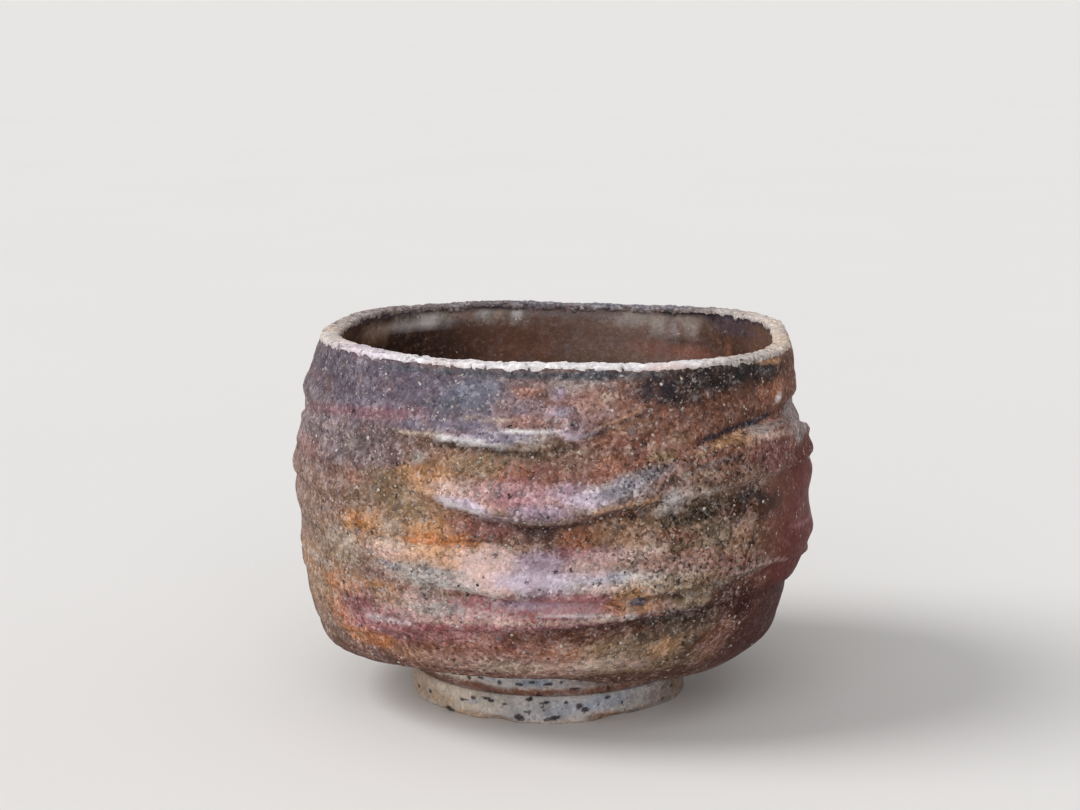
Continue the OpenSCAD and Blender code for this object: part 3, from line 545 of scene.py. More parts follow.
    ("oliveDark", 28, 16.2, 11, 1.5, 0.75, 0.06), ("maroonDark", 40, 20.2, 5, 1, 0.8, 0.04),
    ("maroonDark", 46, 18.2, 7, 2, 0.85, 0.04), ("maroonDark", 38, 13, 7, 2, 0.7, 0.05),
    ("maroonDark", 44, 15.6, 6, 1.6, 0.6, 0.05), ("roseRed", -44, 14.4, 8, 1, 0.7, 0.04),
    ("orange", -54, 15.5, 5, 2, 0.4), ("orange", -46, 13, 9, 1.2, 0.75), ("rust", -26, 12.6, 12, 1.2, 0.7),
    ("greyBrown", -66, 12.5, 12, 2, 0.7), ("rustDark", 2, 15.8, 18, 0.9, 0.75, 0.02),
    ("rustDark", 12, 16, 9, 1, 0.7, 0.04), ("rosyTan", -4, 11.7, 26, 1.4, 0.8),
    ("cream", -12, 11.2, 6, 0.9, 0.6), ("cream", 14, 11.6, 9, 1, 0.75),
    ("rustOrange", 2, 13.4, 5, 0.9, 0.6), ("ochreBright", 26, 13.2, 4, 1.2, 0.5),
    ("ochre", -34, 12, 6, 0.9, 0.6), ("oliveGrey", 16, 12.4, 5, 1.3, 0.6),
    ("cream", -3.5, 11.2, 1.5, 0.7, 0.8), ("rust", 41, 13, 5, 2.5, 0.7),
    ("rosyTan", 18, 11.3, 5, 0.9, 0.5), ("maroonDark", 33, 18.2, 4, 0.8, 0.5),
    # the shadowRed band all round is painted shade along the low edge where the wall turns under
    ("shadowRed", 0, 8.2, 400, 1.4, 0.6), ("greyBrown", 0, 6.6, 400, 0.7, 0.5),
]
# colour, strength, half height, then the points the streak runs through: angle and height
# The pale crest lines below are partly pale ash and partly painted highlight on crests that face the
# light; the dark lines under the ridges and in the groove and the crease are painted shade
outsideStreaks = [
    ("rose", 1.05, 0.72, [(-76, 40.3), (-62, 41.5), (-46, 42.5), (-36, 43), (-26, 43.5)]),
    # cream, white and cream along the shoulder ridge's crest: partly pale ash, partly painted highlight
    ("cream", 0.85, 0.22, [(-35, 41.1), (-28, 40.9), (-22, 40.6), (-17, 40.4)]),
    ("white", 1.25, 0.36, [(-25, 40.8), (-21, 40.5), (-16, 40.3), (-12, 40), (-10, 39.9)]),
    ("cream", 0.7, 0.2, [(-13, 40), (-7, 39.8), (-2, 40.1), (1, 40.7)]),
    ("white", 0.9, 0.17, [(-12, 41.7), (-7, 41.8), (-3, 41.7), (1, 41.9)]),
    ("cream", 0.5, 0.2, [(-20, 43.3), (-16, 43.3), (-10, 43.1)]),
    ("lilacPale", 0.95, 0.34, [(-1, 41.9), (1, 41.5), (4, 41), (6.5, 41.4), (9.5, 42.3)]),
    # tan along the shoulder crest on the right: partly pale ash, partly painted highlight
    ("tanCrest", 0.75, 0.2, [(7, 41.7), (10, 42.4), (14, 43.4), (18, 44.4)]),
    ("purpleDark", 0.95, 0.75, [(3.6, 42.6), (4.4, 42.6)]),
    ("lilacGrey", 0.6, 0.25, [(3.9, 42.7), (4.1, 42.7)]),
    # painted shadow below the shoulder ridge, on the right and then along the front
    ("shadow", 0.75, 0.3, [(5, 41), (9, 41.7), (14, 42.6), (20, 44.1)]),
    ("oliveDark", 0.75, 0.4, [(-30, 40.2), (-16, 39.5), (-4, 39.1), (2, 39.7), (6, 40.2), (9, 40.9)]),
    ("rustOrange", 0.6, 0.2, [(50, 40.3), (56, 40.8), (62, 41.4)]),
    ("pinkCream", 0.6, 0.35, [(44, 39.5), (53, 39.2), (64, 38.8)]),
    ("tan", 0.7, 0.4, [(29, 38.4), (33, 39), (37, 39.5)]),
    # tan and haze on the ledge below the groove: partly pale ash, partly painted highlight
    ("tanCrest", 0.95, 0.38, [(33, 39.1), (37, 39.6), (41, 39.9), (47, 39.9)]),
    ("haze", 0.7, 0.36, [(42, 39.9), (48, 40.1), (54, 40.2), (60, 40), (68, 39.6)]),
    # painted shade in the groove
    ("inkBlue", 1.15, 0.36, [(29, 39.8), (35, 40.3), (40, 40.75), (46, 41), (52, 41.3), (57, 41.5)]),
    ("inkTeal", 0.5, 0.4, [(22, 35), (27, 36), (32, 36.9), (37, 37.5), (40, 37.9)]),
    # tan and white on the main ridge's crest: partly pale ash, partly painted highlight
    ("tanCrest", 0.7, 0.26, [(7, 32.2), (11, 32.6), (16, 33.1), (21, 33.5)]),
    ("white", 0.95, 0.38, [(-23.6, 33.2), (-20.4, 32.6), (-17.2, 32.1), (-14.2, 31.8)]),
    # white on the waist ridge's crest: partly pale ash, partly painted highlight
    ("white", 0.85, 0.2, [(-24, 22.2), (-20, 21.9), (-15, 21.6), (-11, 21.3)]),
    ("white", 0.6, 0.22, [(-3, 18.9), (3, 18.8), (9, 18.7), (14, 18.5)]),
    ("cream", 0.55, 0.2, [(24, 34.2), (28, 33.4), (31, 34), (35, 33.5)]),
    # dark line just under the crust: partly a stain, partly painted shade below the crust's edge
    ("inkTeal", 0.85, 0.45, [(-46, 48.3), (-30, 48.6), (-10, 48.5), (8, 48.4), (22, 48.3)]),
    # painted shadow under the main ridge
    ("shadow", 0.6, 0.32, [(-19, 30.8), (-12, 30.4), (-5, 30.1), (2, 30.2), (8, 30.9), (15, 31.8)]),
    ("orange", 0.95, 0.34, [(-33, 27.7), (-27, 27.7), (-21, 27.7), (-15, 27.9)]),
    # painted shade in the crease
    ("shadowRed", 0.8, 0.18, [(-20, 28.1), (-13, 28.3), (-7, 28.3), (-1, 28.4)]),
    # cream on the waist ridge's crest: partly pale ash, partly painted highlight
    ("cream", 0.5, 0.22, [(-22, 22.2), (-17, 21.9), (-12, 21.6), (-7, 21.5)]),
    # painted shadow under the waist ridge
    ("tealBlack", 0.6, 0.25, [(-31, 20.9), (-27, 20.7), (-23, 20.9)]),
    # white and cream along the low ridge: partly pale ash, partly painted highlight
    ("white", 0.45, 0.4, [(-44, 16.3), (-38, 16.5), (-30, 16.6)]),
    ("cream", 0.5, 0.25, [(-34, 16.8), (-24, 17.4), (-14, 17.7), (-4, 17.8), (5, 18.1), (19, 18.4)]),
    # painted shade along the low edge
    ("shadowRed", 0.7, 0.22, [(-70, 10.5), (-45, 10.4), (-20, 10.2), (-4, 9.9)]),
    ("pinkCream", 0.5, 0.18, [(36, 22.4), (44, 22.7), (52, 22.9), (60, 21.8)]),
    ("roseRed", 0.5, 0.25, [(58, 26.5), (70, 25.5), (85, 25)]),
]
# rows as outside, on the inner wall
insidePatches = [
    # the paler clay grey on the right inner wall is painted light, and the near-black coffee on the left
    # inner wall at 232 degrees is painted shade
    ("walnut", 0, 25, 400, 60, 1), ("clayGrey", 158, 36, 26, 12, 0.75), ("redBrown", 190, 40, 12, 4, 0.35),
    ("coffee", 232, 36, 30, 16, 0.9), ("coffee", 128, 42, 12, 6, 0.5),
    ("redBrown", 145, 42.4, 12, 1.2, 0.75, -0.02), ("oliveBrown", 176, 38, 26, 3.5, 0.6),
    ("rustOrange", 127, 43.6, 1.8, 1, 0.55), ("greyCream", 186, 47.3, 50, 0.75, 0.65),
    ("mauveGrey", 176, 47.3, 12, 0.7, 0.6), ("paleStone", 224, 46.7, 14, 0.8, 0.85),
    ("white", 217, 46.9, 4, 0.6, 0.6), ("rosyTan", 206, 47.3, 4, 0.6, 0.6),
    ("paleStone", 200, 47.3, 2.2, 0.6, 0.9), ("cream", 196, 47.3, 1.6, 0.6, 0.8),
    ("white", 191, 47.2, 1.6, 0.6, 0.95), ("dustyRose", 185, 47, 2.4, 0.6, 0.6),
    ("greyCream", 158, 46.5, 5, 0.9, 0.7), ("greyCream", 150, 46, 2.6, 1.3, 0.75),
    ("haze", 145, 45.6, 1.6, 1.4, 0.8), ("greyCream", 139, 46, 3.5, 1, 0.6),
    ("oliveDark", 144, 43.6, 3, 0.8, 0.6), ("tan", 236, 46.5, 8, 1.2, 0.6),
    ("slateDark", 180, 49, 100, 0.8, 0.95), ("inkBlue", 138, 48.4, 18, 0.8, 0.8),
    ("slateDark", 122, 47.2, 10, 1.2, 0.7), ("oliveGrey", 0, 47, 60, 1.5, 0.7),
    ("oliveBrown", 20, 38, 70, 8, 0.6), ("olive", 0, 12, 400, 2.4, 0.75),
    ("greyCream", 40, 10.6, 60, 0.9, 0.5),
]
backPatches = {
    "count": 120,
    "seed": 7,
    "from": 84,
    "to": 276,
    "heights": (9, 48),
    "sizes": [(4, 18), (0.6, 2.6)],
    "vary": (0.6, 1.3),
    "climb": 0.03,
    "strengths": (0.4, 0.8),
    "colours": [
        "slateBrown", "rust", "ochre", "rose", "redBrown", "cream", "oliveTan", "mauveGrey", "maroonRose",
        "greyBrown", "rosyTan", "oliveDark", "rustOrange", "wine", "slateBrown", "brown", "ochreBright",
        "purpleDark"],
}
fireSeeds = {"fireAndPaintedLightA": 11, "fireAndPaintedLightB": 29}     # two ragged edges for the same colours, mingled by the material
paint = {
    "lift": 1.1,
    "edge": 0.42,
    "wander": 1.1,
    "wanderSize": 3.2,
    "fringe": 1.0,
    "fringeSize": 1.5,
    "drift": 0.8,
    "sway": 1.2,
    "hold": 0.25,
    "large": 1.8,
    "streakEnd": 1.5,
    "streakTaper": 0.35,
    "streakWear": (0.9, 0.3),
}


def paintColours(points, angle, patches, streaks, seed):
    # one layer of fire colours, with the painted shade and highlights among them, at the given points
    z = points[..., 2]
    wander = softNoise(points, paint["wanderSize"], noiseSeeds["wander"]) * paint["wander"]
    rag = softNoise(points, paint["fringeSize"], seed) * paint["fringe"]
    drift = (wander * half + rag) * paint["drift"]
    sway = softNoise(points, paint["wanderSize"], noiseSeeds["sway"]) * paint["wander"]
    sway = paint["sway"] * (sway + rag)
    edge = paint["edge"]
    whole, worn = paint["streakWear"]
    colour = np.zeros(points.shape[:-1] + (3,))
    for name, a, height, wide, tall, strength, *climb in patches:
        # the smaller the patch, the more it keeps its place and shape
        loose = min(1, paint["hold"] + (1 - paint["hold"]) * tall / paint["large"])
        away = apart(angle + sway * loose, a) if wide < turn / 2 else 0 * angle
        d = np.hypot(away / wide, (z + drift * loose - height - sum(climb) * away) / tall)
        mask = strength * softStep((1 + edge - d) / (2 * edge))
        colour += (toLinear(palette[name]) - colour) * mask[..., None]
    for name, strength, tall, line in streaks:
        middle = (line[0][0] + line[-1][0]) / 2
        long = (line[-1][0] - line[0][0]) / 2
        away = apart(angle, middle)
        d = np.abs(z + rag * tall * half - smooth(away + middle, line)) / tall
        ends = softStep((long + paint["streakEnd"] - np.abs(away))
                        / (paint["streakTaper"] * long + paint["streakEnd"]))
        mask = strength * ends * softStep((1 + edge - d) / (2 * edge)) * (whole + worn * rag)
        colour += (toLinear(palette[name]) - colour) * ramp(mask)[..., None]
    return colour * paint["lift"]


def drawBackPatches(look):
    # half widths and half heights run from the largest patch down to the smallest
    chance = np.random.default_rng(look["seed"])
    patches = []
    for index in range(look["count"]):
        big = 1 - index / look["count"]
        name = look["colours"][int(chance.integers(len(look["colours"])))]
        angle = chance.uniform(look["from"], look["to"])
        height = chance.uniform(*look["heights"])
        wide, tall = [(least + more * big) * chance.uniform(*look["vary"])
                      for least, more in look["sizes"]]
        climb = chance.uniform(-look["climb"], look["climb"])
        patches.append((name, angle, height, wide, tall, chance.uniform(*look["strengths"]), climb))
    return patches


# Shader nodes

def setInputs(tree, node, links):
    for socket, value in links.items():
        if isinstance(value, bpy.types.NodeSocket):
            tree.links.new(value, node.inputs[socket])
        else:
            node.inputs[socket].default_value = value


def addNode(tree, kind, links=None, **settings):
    node = tree.nodes.new(kind)
    for name, value in settings.items():
        setattr(node, name, value)
    setInputs(tree, node, links or {})
    return node


def calc(tree, operation, a, b=0.0, clamp=False):
    return addNode(tree, "ShaderNodeMath", {0: a, 1: b}, operation=operation, use_clamp=clamp).outputs[0]


def times(tree, value, *others):
    for other in others:
        value = calc(tree, "MULTIPLY", value, other)
    return value


def plus(tree, value, *others):
    for other in others:
        value = calc(tree, "ADD", value, other)
    return value


def less(tree, a, b, clamp=False):
    return calc(tree, "SUBTRACT", a, b, clamp)


def blendColour(tree, share, a, b, mode="MIX"):
    node = addNode(tree, "ShaderNodeMix", {0: share, 6: a, 7: b}, data_type="RGBA", blend_type=mode)
    return node.outputs[2]


def spread(tree, value, low, high, toLow=0.0, toHigh=1.0):
    node = addNode(tree, "ShaderNodeMapRange", {0: value, 1: low, 2: high, 3: toLow, 4: toHigh},
                   interpolation_type="SMOOTHSTEP")
    return node.outputs[0]


def noise(tree, vector, size, detail, roughness=half):
    return addNode(tree, "ShaderNodeTexNoise", {
        "Vector": vector, "Scale": 1 / (size * mm), "Detail": detail, "Roughness": roughness}).outputs


def cells(tree, vector, scale):
    # the distance from each cell's middle, and three chances for each cell
    node = addNode(tree, "ShaderNodeTexVoronoi", {"Vector": vector, "Scale": scale})
    chances = addNode(tree, "ShaderNodeSeparateColor", {0: node.outputs["Color"]}).outputs
    return node.outputs["Distance"], chances


def vectorMath(tree, operation, links):
    return addNode(tree, "ShaderNodeVectorMath", links, operation=operation).outputs[0]


def attribute(tree, name, output="Fac"):
    return addNode(tree, "ShaderNodeAttribute", attribute_name=name).outputs[output]


def groupTree(name, inputs, outputs):
    tree = bpy.data.node_groups.new(name, "ShaderNodeTree")
    for side, sockets in (("INPUT", inputs), ("OUTPUT", outputs)):
        for label, kind in sockets.items():
            tree.interface.new_socket(label, in_out=side, socket_type="NodeSocket" + kind)
    return tree, tree.nodes.new("NodeGroupInput").outputs, tree.nodes.new("NodeGroupOutput")


stonesLook = {
    "smallest": 0.35,
    "raggedNoise": (0.24, 2.0),
    "ragged": (0.3, 0.7, 0.5, 1.6),
    "edge": (1.15, 0.75),
}


def makeStonesGroup(look):
    # round stones or pits scattered through the clay: how much of the surface they cover, and a dome
    tree, given, gives = groupTree(
        "scatteredStones",
        {"Vector": "Vector", "Spacing": "Float", "Radius": "Float", "Share": "Float"},
        {"Mask": "Float", "Dome": "Float", "Chance": "Float"})
    distance, chances = cells(tree, given["Vector"], calc(tree, "DIVIDE", 1 / mm, given["Spacing"]))
    there = calc(tree, "LESS_THAN", chances[0], given["Share"])
    size = plus(tree, times(tree, chances[1], 1 - look["smallest"]), look["smallest"])
    reach = calc(tree, "DIVIDE", times(tree, size, given["Radius"]), given["Spacing"])
    ragged = noise(tree, given["Vector"], *look["raggedNoise"])[0]
    ratio = times(tree, calc(tree, "DIVIDE", distance, reach), spread(tree, ragged, *look["ragged"]))
    setInputs(tree, gives, {
        "Mask": times(tree, spread(tree, ratio, *look["edge"]), there),
        "Dome": times(tree, less(tree, 1.0, ratio, True), there),
        "Chance": chances[2]})
    return tree


# Coarse fired clay. Sizes are in millimetres and colours linear. Four numbers are a range and what it
# turns into, and two are a range that turns into nought to one. A noise has a size, a detail and a
# roughness. A hue has blotches and their strength, grains and their strength, and its colour.
grainLook = {
    "stirNoise": (0.5, 2.0),
    "stir": 0.55,
    "offset": (0.011, 0.027, 0.043),     # metres
    "fine": (0.5, 3.0, 0.8),
    "blotch": (3.2, 6.0, 0.7),
    "tint": (2.1, 6.0, 0.75),
    "frost": (1.4, 7.0, 0.85),
    "cellSize": 0.36,
    "wideSize": 0.75,
    "mingle": (0.2, 0.8),
    "mingled": (0.38, 0.62),
    "take": (0.03, 0.16, 0.25, 1.0),
    "calm": (0.42, 0.75, 1.0, 0.5),
    "warm": [(0.5, 0.68), 0.3, (0.78, 0.9), 0.05, (0.26, 0.11, 0.055, 1)],
    "cool": [(0.48, 0.34), 0.28, (0.2, 0.08), 0.08, (0.21, 0.19, 0.23, 1)],
    "dim": (0.06, 0.3, 0.42, 0.95),
    "glow": (0.7, 0.97, 1.0, 1.75),
    "wideLight": (0.0, 1.0, 0.72, 1.3),
    "blotchLight": (0.36, 0.66, 0.7, 1.34),
    "fineLight": (0.34, 0.66, 0.72, 1.3),
    "bright": (1.9, 1.9, 1.9, 1),
    "bleach": 0.3,
    "bleached": (0.5, 0.46, 0.44, 1),
    "frosted": (0.5, 0.62),
    "ashColour": (0.58, 0.53, 0.54, 1),
    "darkColour": (0.03, 0.02, 0.018, 1),
    "dark": 0.78,
    "fineDark": 0.5,
    "whiteColour": (0.78, 0.74, 0.71, 1),
    "creamColour": (0.52, 0.43, 0.36, 1),
    "white": 0.82,
    "fineWhite": 0.75,
    "roughness": (0.3, 0.7, 0.6, 0.84),
    "whiteGloss": 0.25,
    "smoothGloss": 0.22,
}
# spacing, radius and height of the stones and pits in the clay
clayStones = {
    "darkBig": (1.8, 0.36, -1.1),
    "darkFine": (0.7, 0.17, 0.0),
    "whiteBig": (1.4, 0.26, 0.9),
    "whiteFine": (0.62, 0.15, 0.4),
}
clayHeights = {"fine": 0.6, "cell": -0.4, "wide": 0.25}


def makeClayGroup(stonesGroup, look):
    # two layers of fire colours, with painted shade and highlights among them, mingled grain by grain,
    # mottled, with white and dark grains
    tree, given, gives = groupTree(
        "coarseClay",
        {"Vector": "Vector", "Colour A": "Color", "Colour B": "Color", "Mottle": "Float",
         "White Share": "Float", "Dark Share": "Float", "Ash": "Float", "Smoothness": "Float"},
        {"Colour": "Color", "Roughness": "Float", "Height": "Float"})
    stir = noise(tree, given["Vector"], *look["stirNoise"])["Color"]
    shift = vectorMath(tree, "SUBTRACT", {0: stir, 1: (half, half, half)})
    shift = vectorMath(tree, "SCALE", {0: shift, "Scale": look["stir"] * mm})
    where = vectorMath(tree, "ADD", {0: given["Vector"], 1: shift})
    offset = vectorMath(tree, "ADD", {0: where, 1: look["offset"]})
    fine = noise(tree, where, *look["fine"])[0]
    blotch = noise(tree, where, *look["blotch"])[0]
    tint = noise(tree, offset, *look["tint"])[0]
    frost = noise(tree, offset, *look["frost"])[0]
    distance, cell = cells(tree, where, 1 / (look["cellSize"] * mm))
    wide = cells(tree, offset, 1 / (look["wideSize"] * mm))[1]
    # the two colours mingle in grains
    share = plus(tree, times(tree, cell[1], look["mingle"][0]), times(tree, fine, look["mingle"][1]))
    base = blendColour(tree, spread(tree, share, *look["mingled"]), given["Colour A"], given["Colour B"])
    # dark clay takes on less of the tints, and pale crests are calmer
    shade = addNode(tree, "ShaderNodeRGBToBW", {0: base}).outputs[0]
    take = spread(tree, shade, *look["take"])
    calm = spread(tree, shade, *look["calm"])
    # hue drifts towards orange brown and towards blue grey, in blotches and grain by grain
    for name, hold in (("warm", [calm]), ("cool", [take, calm])):
        blotches, most, grains, more, colour = look[name]
        hue = plus(tree, times(tree, spread(tree, tint, *blotches), most),
                   times(tree, spread(tree, cell[2], *grains), more))
        base = blendColour(tree, times(tree, hue, *hold), base, colour)
    # brightness from grain to grain, and in blotches
    light = times(tree, spread(tree, cell[0], *look["dim"]), spread(tree, cell[0], *look["glow"]),
                  spread(tree, wide[0], *look["wideLight"]), spread(tree, blotch, *look["blotchLight"]),
                  spread(tree, fine, *look["fineLight"]))
    mottle = times(tree, given["Mottle"], calm)
    light = plus(tree, times(tree, light, mottle), less(tree, 1.0, mottle))
    dimmed = calc(tree, "MINIMUM", light, 1.0)
    grey = addNode(tree, "ShaderNodeCombineColor", {0: dimmed, 1: dimmed, 2: dimmed}).outputs[0]
    base = blendColour(tree, 1.0, base, grey, "MULTIPLY")
    bright = blendColour(tree, 1.0, base, look["bright"], "MULTIPLY")
    bright = blendColour(tree, look["bleach"], bright, look["bleached"])
    base = blendColour(tree, less(tree, light, 1.0, True), base, bright)
    # a thin frost of ash on the high grains
    frosted = times(tree, spread(tree, frost, *look["frosted"]), given["Ash"], take)
    base = blendColour(tree, frosted, base, look["ashColour"])
    # dark grains and pits, then white ones
    stones = {}
    domes = []
    for name, (spacing, radius, high) in clayStones.items():
        stones[name] = addNode(tree, "ShaderNodeGroup", {
            "Vector": where if name in ("darkBig", "whiteFine") else offset,
            "Spacing": spacing,
            "Radius": radius,
            "Share": given["Dark Share" if name.startswith("dark") else "White Share"],
        }, node_tree=stonesGroup).outputs
        domes.append(times(tree, stones[name]["Dome"], high))
    dark = calc(tree, "MAXIMUM", stones["darkBig"]["Mask"],
                times(tree, stones["darkFine"]["Mask"], look["fineDark"]))
    base = blendColour(tree, times(tree, dark, calm, look["dark"]), base, look["darkColour"])
    white = calc(tree, "MAXIMUM", stones["whiteBig"]["Mask"],
                 times(tree, stones["whiteFine"]["Mask"], look["fineWhite"]))
    pale = blendColour(tree, stones["whiteBig"]["Chance"], look["whiteColour"], look["creamColour"])
    base = blendColour(tree, times(tree, white, look["white"]), base, pale)
    rough = less(tree, spread(tree, fine, *look["roughness"]), times(tree, white, look["whiteGloss"]))
    rough = less(tree, rough, times(tree, given["Smoothness"], look["smoothGloss"]), True)
    height = plus(tree, times(tree, fine, clayHeights["fine"]), times(tree, distance, clayHeights["cell"]),
                  times(tree, wide[0], clayHeights["wide"]), *domes)
    setInputs(tree, gives, {"Colour": base, "Roughness": rough, "Height": height})
    return tree


clayGroup = makeClayGroup(makeStonesGroup(stonesLook), grainLook)


def newMaterial(name):
    material = bpy.data.materials.new(name)
    material.use_nodes = True
    tree = material.node_tree
    where = addNode(tree, "ShaderNodeTexCoord").outputs["Object"]
    return material, tree, tree.nodes["Principled BSDF"], where


def bumpNormal(tree, strength, distance, height):
    return addNode(tree, "ShaderNodeBump", {
        "Strength": strength, "Distance": distance, "Height": height}).outputs[0]


def clayMaterial(name, look):
    material, tree, shader, where = newMaterial(name)
    grit = attribute(tree, "grit")
    mottle = attribute(tree, "mottle")
    clay = addNode(tree, "ShaderNodeGroup", {
        "Vector": where,
        "Colour A": attribute(tree, "fireAndPaintedLightA", "Color"),
        "Colour B": attribute(tree, "fireAndPaintedLightB", "Color"),
        "Mottle": times(tree, mottle, look["mottle"]),
        "White Share": times(tree, grit, look["whiteShare"]),
        "Dark Share": times(tree, grit, look["darkShare"]),
        "Ash": times(tree, attribute(tree, "ash"), look["ash"]),
        "Smoothness": less(tree, 1.0, grit, True),
    }, node_tree=clayGroup).outputs
    setInputs(tree, shader, {
        "Base Color": clay["Colour"],
        "Roughness": clay["Roughness"],
        "Normal": bumpNormal(tree, look["bump"], times(tree, mottle, look["relief"] * mm), clay["Height"]),
        "Specular IOR Level": look["specular"],
    })
    return material


clayLook = {
    "mottle": 0.82,
    "whiteShare": 0.42,
    "darkShare": 0.29,
    "ash": 0.5,
    "bump": 1.0,
    "relief": 0.26,
    "specular": 0.08,
}
footLook = {
    "mottle": 0.5,
    "whiteShare": 0.12,
    "darkShare": 0.6,
    "ash": 0.4,
    "bump": 0.6,
    "relief": 0.14,
    "specular": 0.2,
}
crustLook = {
    "mottle": 0.7,
    "whiteShare": 0.5,
    "darkShare": 0.45,
    "ash": 0.5,
    "bump": 0.8,
    "relief": 0.18,
    "specular": 0.25,
}
firedClay = clayMaterial("firedClay", clayLook)
footClay = clayMaterial("footClay", footLook)
ashGlaze = clayMaterial("ashCrust", crustLook)


def stoneMaterial(name, look):
    material, tree, shader, where = newMaterial(name)
    veins = noise(tree, where, *look["veins"])[0]
    share = calc(tree, "ADD", times(tree, attribute(tree, "tone"), look["toneShare"]),
                 times(tree, veins, look["veinShare"]), True)
    setInputs(tree, shader, {
        "Base Color": blendColour(tree, share, look["colour"], look["darker"]),
        "Roughness": spread(tree, veins, *look["veinRange"], *look["roughness"]),
        "Normal": bumpNormal(tree, look["bump"], look["relief"] * mm, veins),
        "Specular IOR Level": look["specular"],
    })
    return material


stoneLook = {
    "veins": (0.4, 3.0),
    "veinRange": (0.3, 0.7),
    "toneShare": 0.7,
    "veinShare": 0.4,
    "bump": 0.3,
    "relief": 0.05,
    "specular": 0.4,
}
feldsparLook = stoneLook | {
    "colour": (0.68, 0.64, 0.61, 1), "darker": (0.32, 0.24, 0.19, 1), "roughness": (0.35, 0.55)}
ironLook = stoneLook | {
    "colour": (0.018, 0.015, 0.016, 1), "darker": (0.05, 0.038, 0.034, 1), "roughness": (0.5, 0.7)}
feldspar = stoneMaterial("feldspar", feldsparLook)
ironSpot = stoneMaterial("ironSpot", ironLook)
print("materials made")


def finishClay(obj, material, node, points, angle, patches, grit, shade):
    # shade is the share of the colour left: lower on the burnt specks, which are the clay's own, and in
    # the crust's cracks, where it is painted shade; the rest goes to ink blue
    shade = shade[:, None]
    for layer, seed in fireSeeds.items():
        colour = paintColours(points, angle, patches, [], seed)
        addColour(obj, layer, colour * shade + toLinear(palette["inkBlue"]) * (1 - shade))
    addFloat(obj, "grit", grit)
    for layer in ("ash", "mottle"):
        addFloat(obj, layer, np.ones(len(grit)))
    obj.data.materials.append(material)
    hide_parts(node)
    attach(obj, "root")


# Bowl

bowlLook = {
    "around": 480,
    "underRings": 14,
    "wallRings": 158,
    "insideRings": 30,
    "insideCrowd": 1.6,
    "bareRings": (10, 4),
    "poleRadius": 0.6,
    "poleShare": 0.02,
    "dentSize": 7.0,
    "dent": 0.14,
    "gritSize": 1.5,
    "grit": 0.085,
    "smoothed": 0.7,
    "throwing": 0.06,
    "throwingGap": 1.7,
    "throwingLong": 9.0,
    "insideThrowing": 0.12,
    "insideGap": 4.6,
    "trimming": 0.06,
    "trimmingGap": 1.1,
    "trimmingFade": 1.5,
    "nubFade": 1.6,
    "gritFades": {"collar": 0.08, "lip": 0.03, "insideLip": 0.04, "floor": 0.1},
    "crater": {"angle": 4.0, "height": 42.7, "radius": 1.0, "depth": 0.28, "lip": 0.22,
               "floorWide": 0.75, "floorFlat": 4, "lipAt": 1.25, "lipWide": 0.4},
    # angle, height, radius and rise
    "chips": [(58, 43.1, 1.1, 0.35), (-57, 37.8, 0.9, 0.2), (-60, 18.2, 1.0, -0.3), (18, 20.0, 0.9, -0.25),
              (-5.5, 11.0, 0.8, -0.4), (21.3, 33.0, 0.9, -0.5), (-43.5, 27.7, 0.7, -0.15)],
}
# Zones of the wall: the place of each edge and how softly the zone ends there
wallZones = {
    "smoothForm": {"from": (48, 14), "to": (150, 20), "below": (36, 5)},
    "smoothFinish": {"from": (44, 10), "to": (130, 20), "below": (36, 6)},
    "rough": {"from": (8, 10), "to": (54, 10), "above": (17, 6), "below": (42, 5)},
    "slate": {"from": (-110, 20), "to": (-4, 12), "above": (40.5, 2)},
}
# The right front is the roughest, the red side and the inside are the smoothest
bowlFinish = {
    "grit": {"rough": 0.3, "slate": -0.2, "smooth": 0.85, "inside": 0.08, "poles": (1, half)},
    "mottle": {"rough": 0.4, "slate": -0.25, "smooth": 0.55, "inside": 0.32, "poles": (1, 0.4)},
    # calmer patches: angle, height, half width in degrees, half height, share
    "satin": [(2, 20.1, 9, 1.3, 0.6), (-9, 24.6, 10, 2.6, 0.4), (-18, 20.5, 4, 1.2, 0.3),
              (66, 32, 18, 3, 0.3)],
    "satinEdge": (1.3, 0.6),
}
# Ash lies thickest on the front, low down and to the left, and hardly at all on the right
bowlAsh = {
    "least": 0.3,
    "front": {"strength": 0.7, "angle": -10, "wide": 42, "height": 19, "tall": 9},
    "sides": [(0.3, -70, 30), (0.35, -150, 40)],
    "smooth": 0.8,
    "low": (14, 4, 0.4),
    "inside": 0.2,
    "poles": (0.3, 0.2),
}


def zone(angle, z, edges):
    # one within the zone, fading to nought outside
    mask = np.ones(np.broadcast(angle, z).shape)
    for edge, (at, fade) in edges.items():
        x = angle if edge in ("from", "to") else z
        mask = mask * softStep((x - at if edge in ("from", "above") else at - x) / fade)
    return mask


def alongWall(angle, z, a, height):
    return np.hypot(apart(angle, a) * math.radians(1) * cupForm["bodyRadius"], z - height)


def wallGrit(points, angle, z, look):
    out = look["dent"] * softNoise(points, look["dentSize"], noiseSeeds["dent"])
    rough = 1 - look["smoothed"] * zone(angle, z, wallZones["smoothForm"])
    out += look["grit"] * rough * softNoise(points, look["gritSize"], noiseSeeds["grit"])
    stretched = points / [look["throwingLong"], look["throwingLong"], 1]
    out += look["throwing"] * softNoise(stretched, look["throwingGap"], noiseSeeds["throwing"])
    crater = look["crater"]
    radius = crater["radius"]
    across = alongWall(angle, z, crater["angle"], crater["height"])
    out -= crater["depth"] * np.exp(-(across / radius / crater["floorWide"]) ** crater["floorFlat"])
    out += crater["lip"] * bell(across - radius * crater["lipAt"], radius * crater["lipWide"])
    for a, height, radius, rise in look["chips"]:
        out += rise * bell(alongWall(angle, z, a, height), radius)
    return out


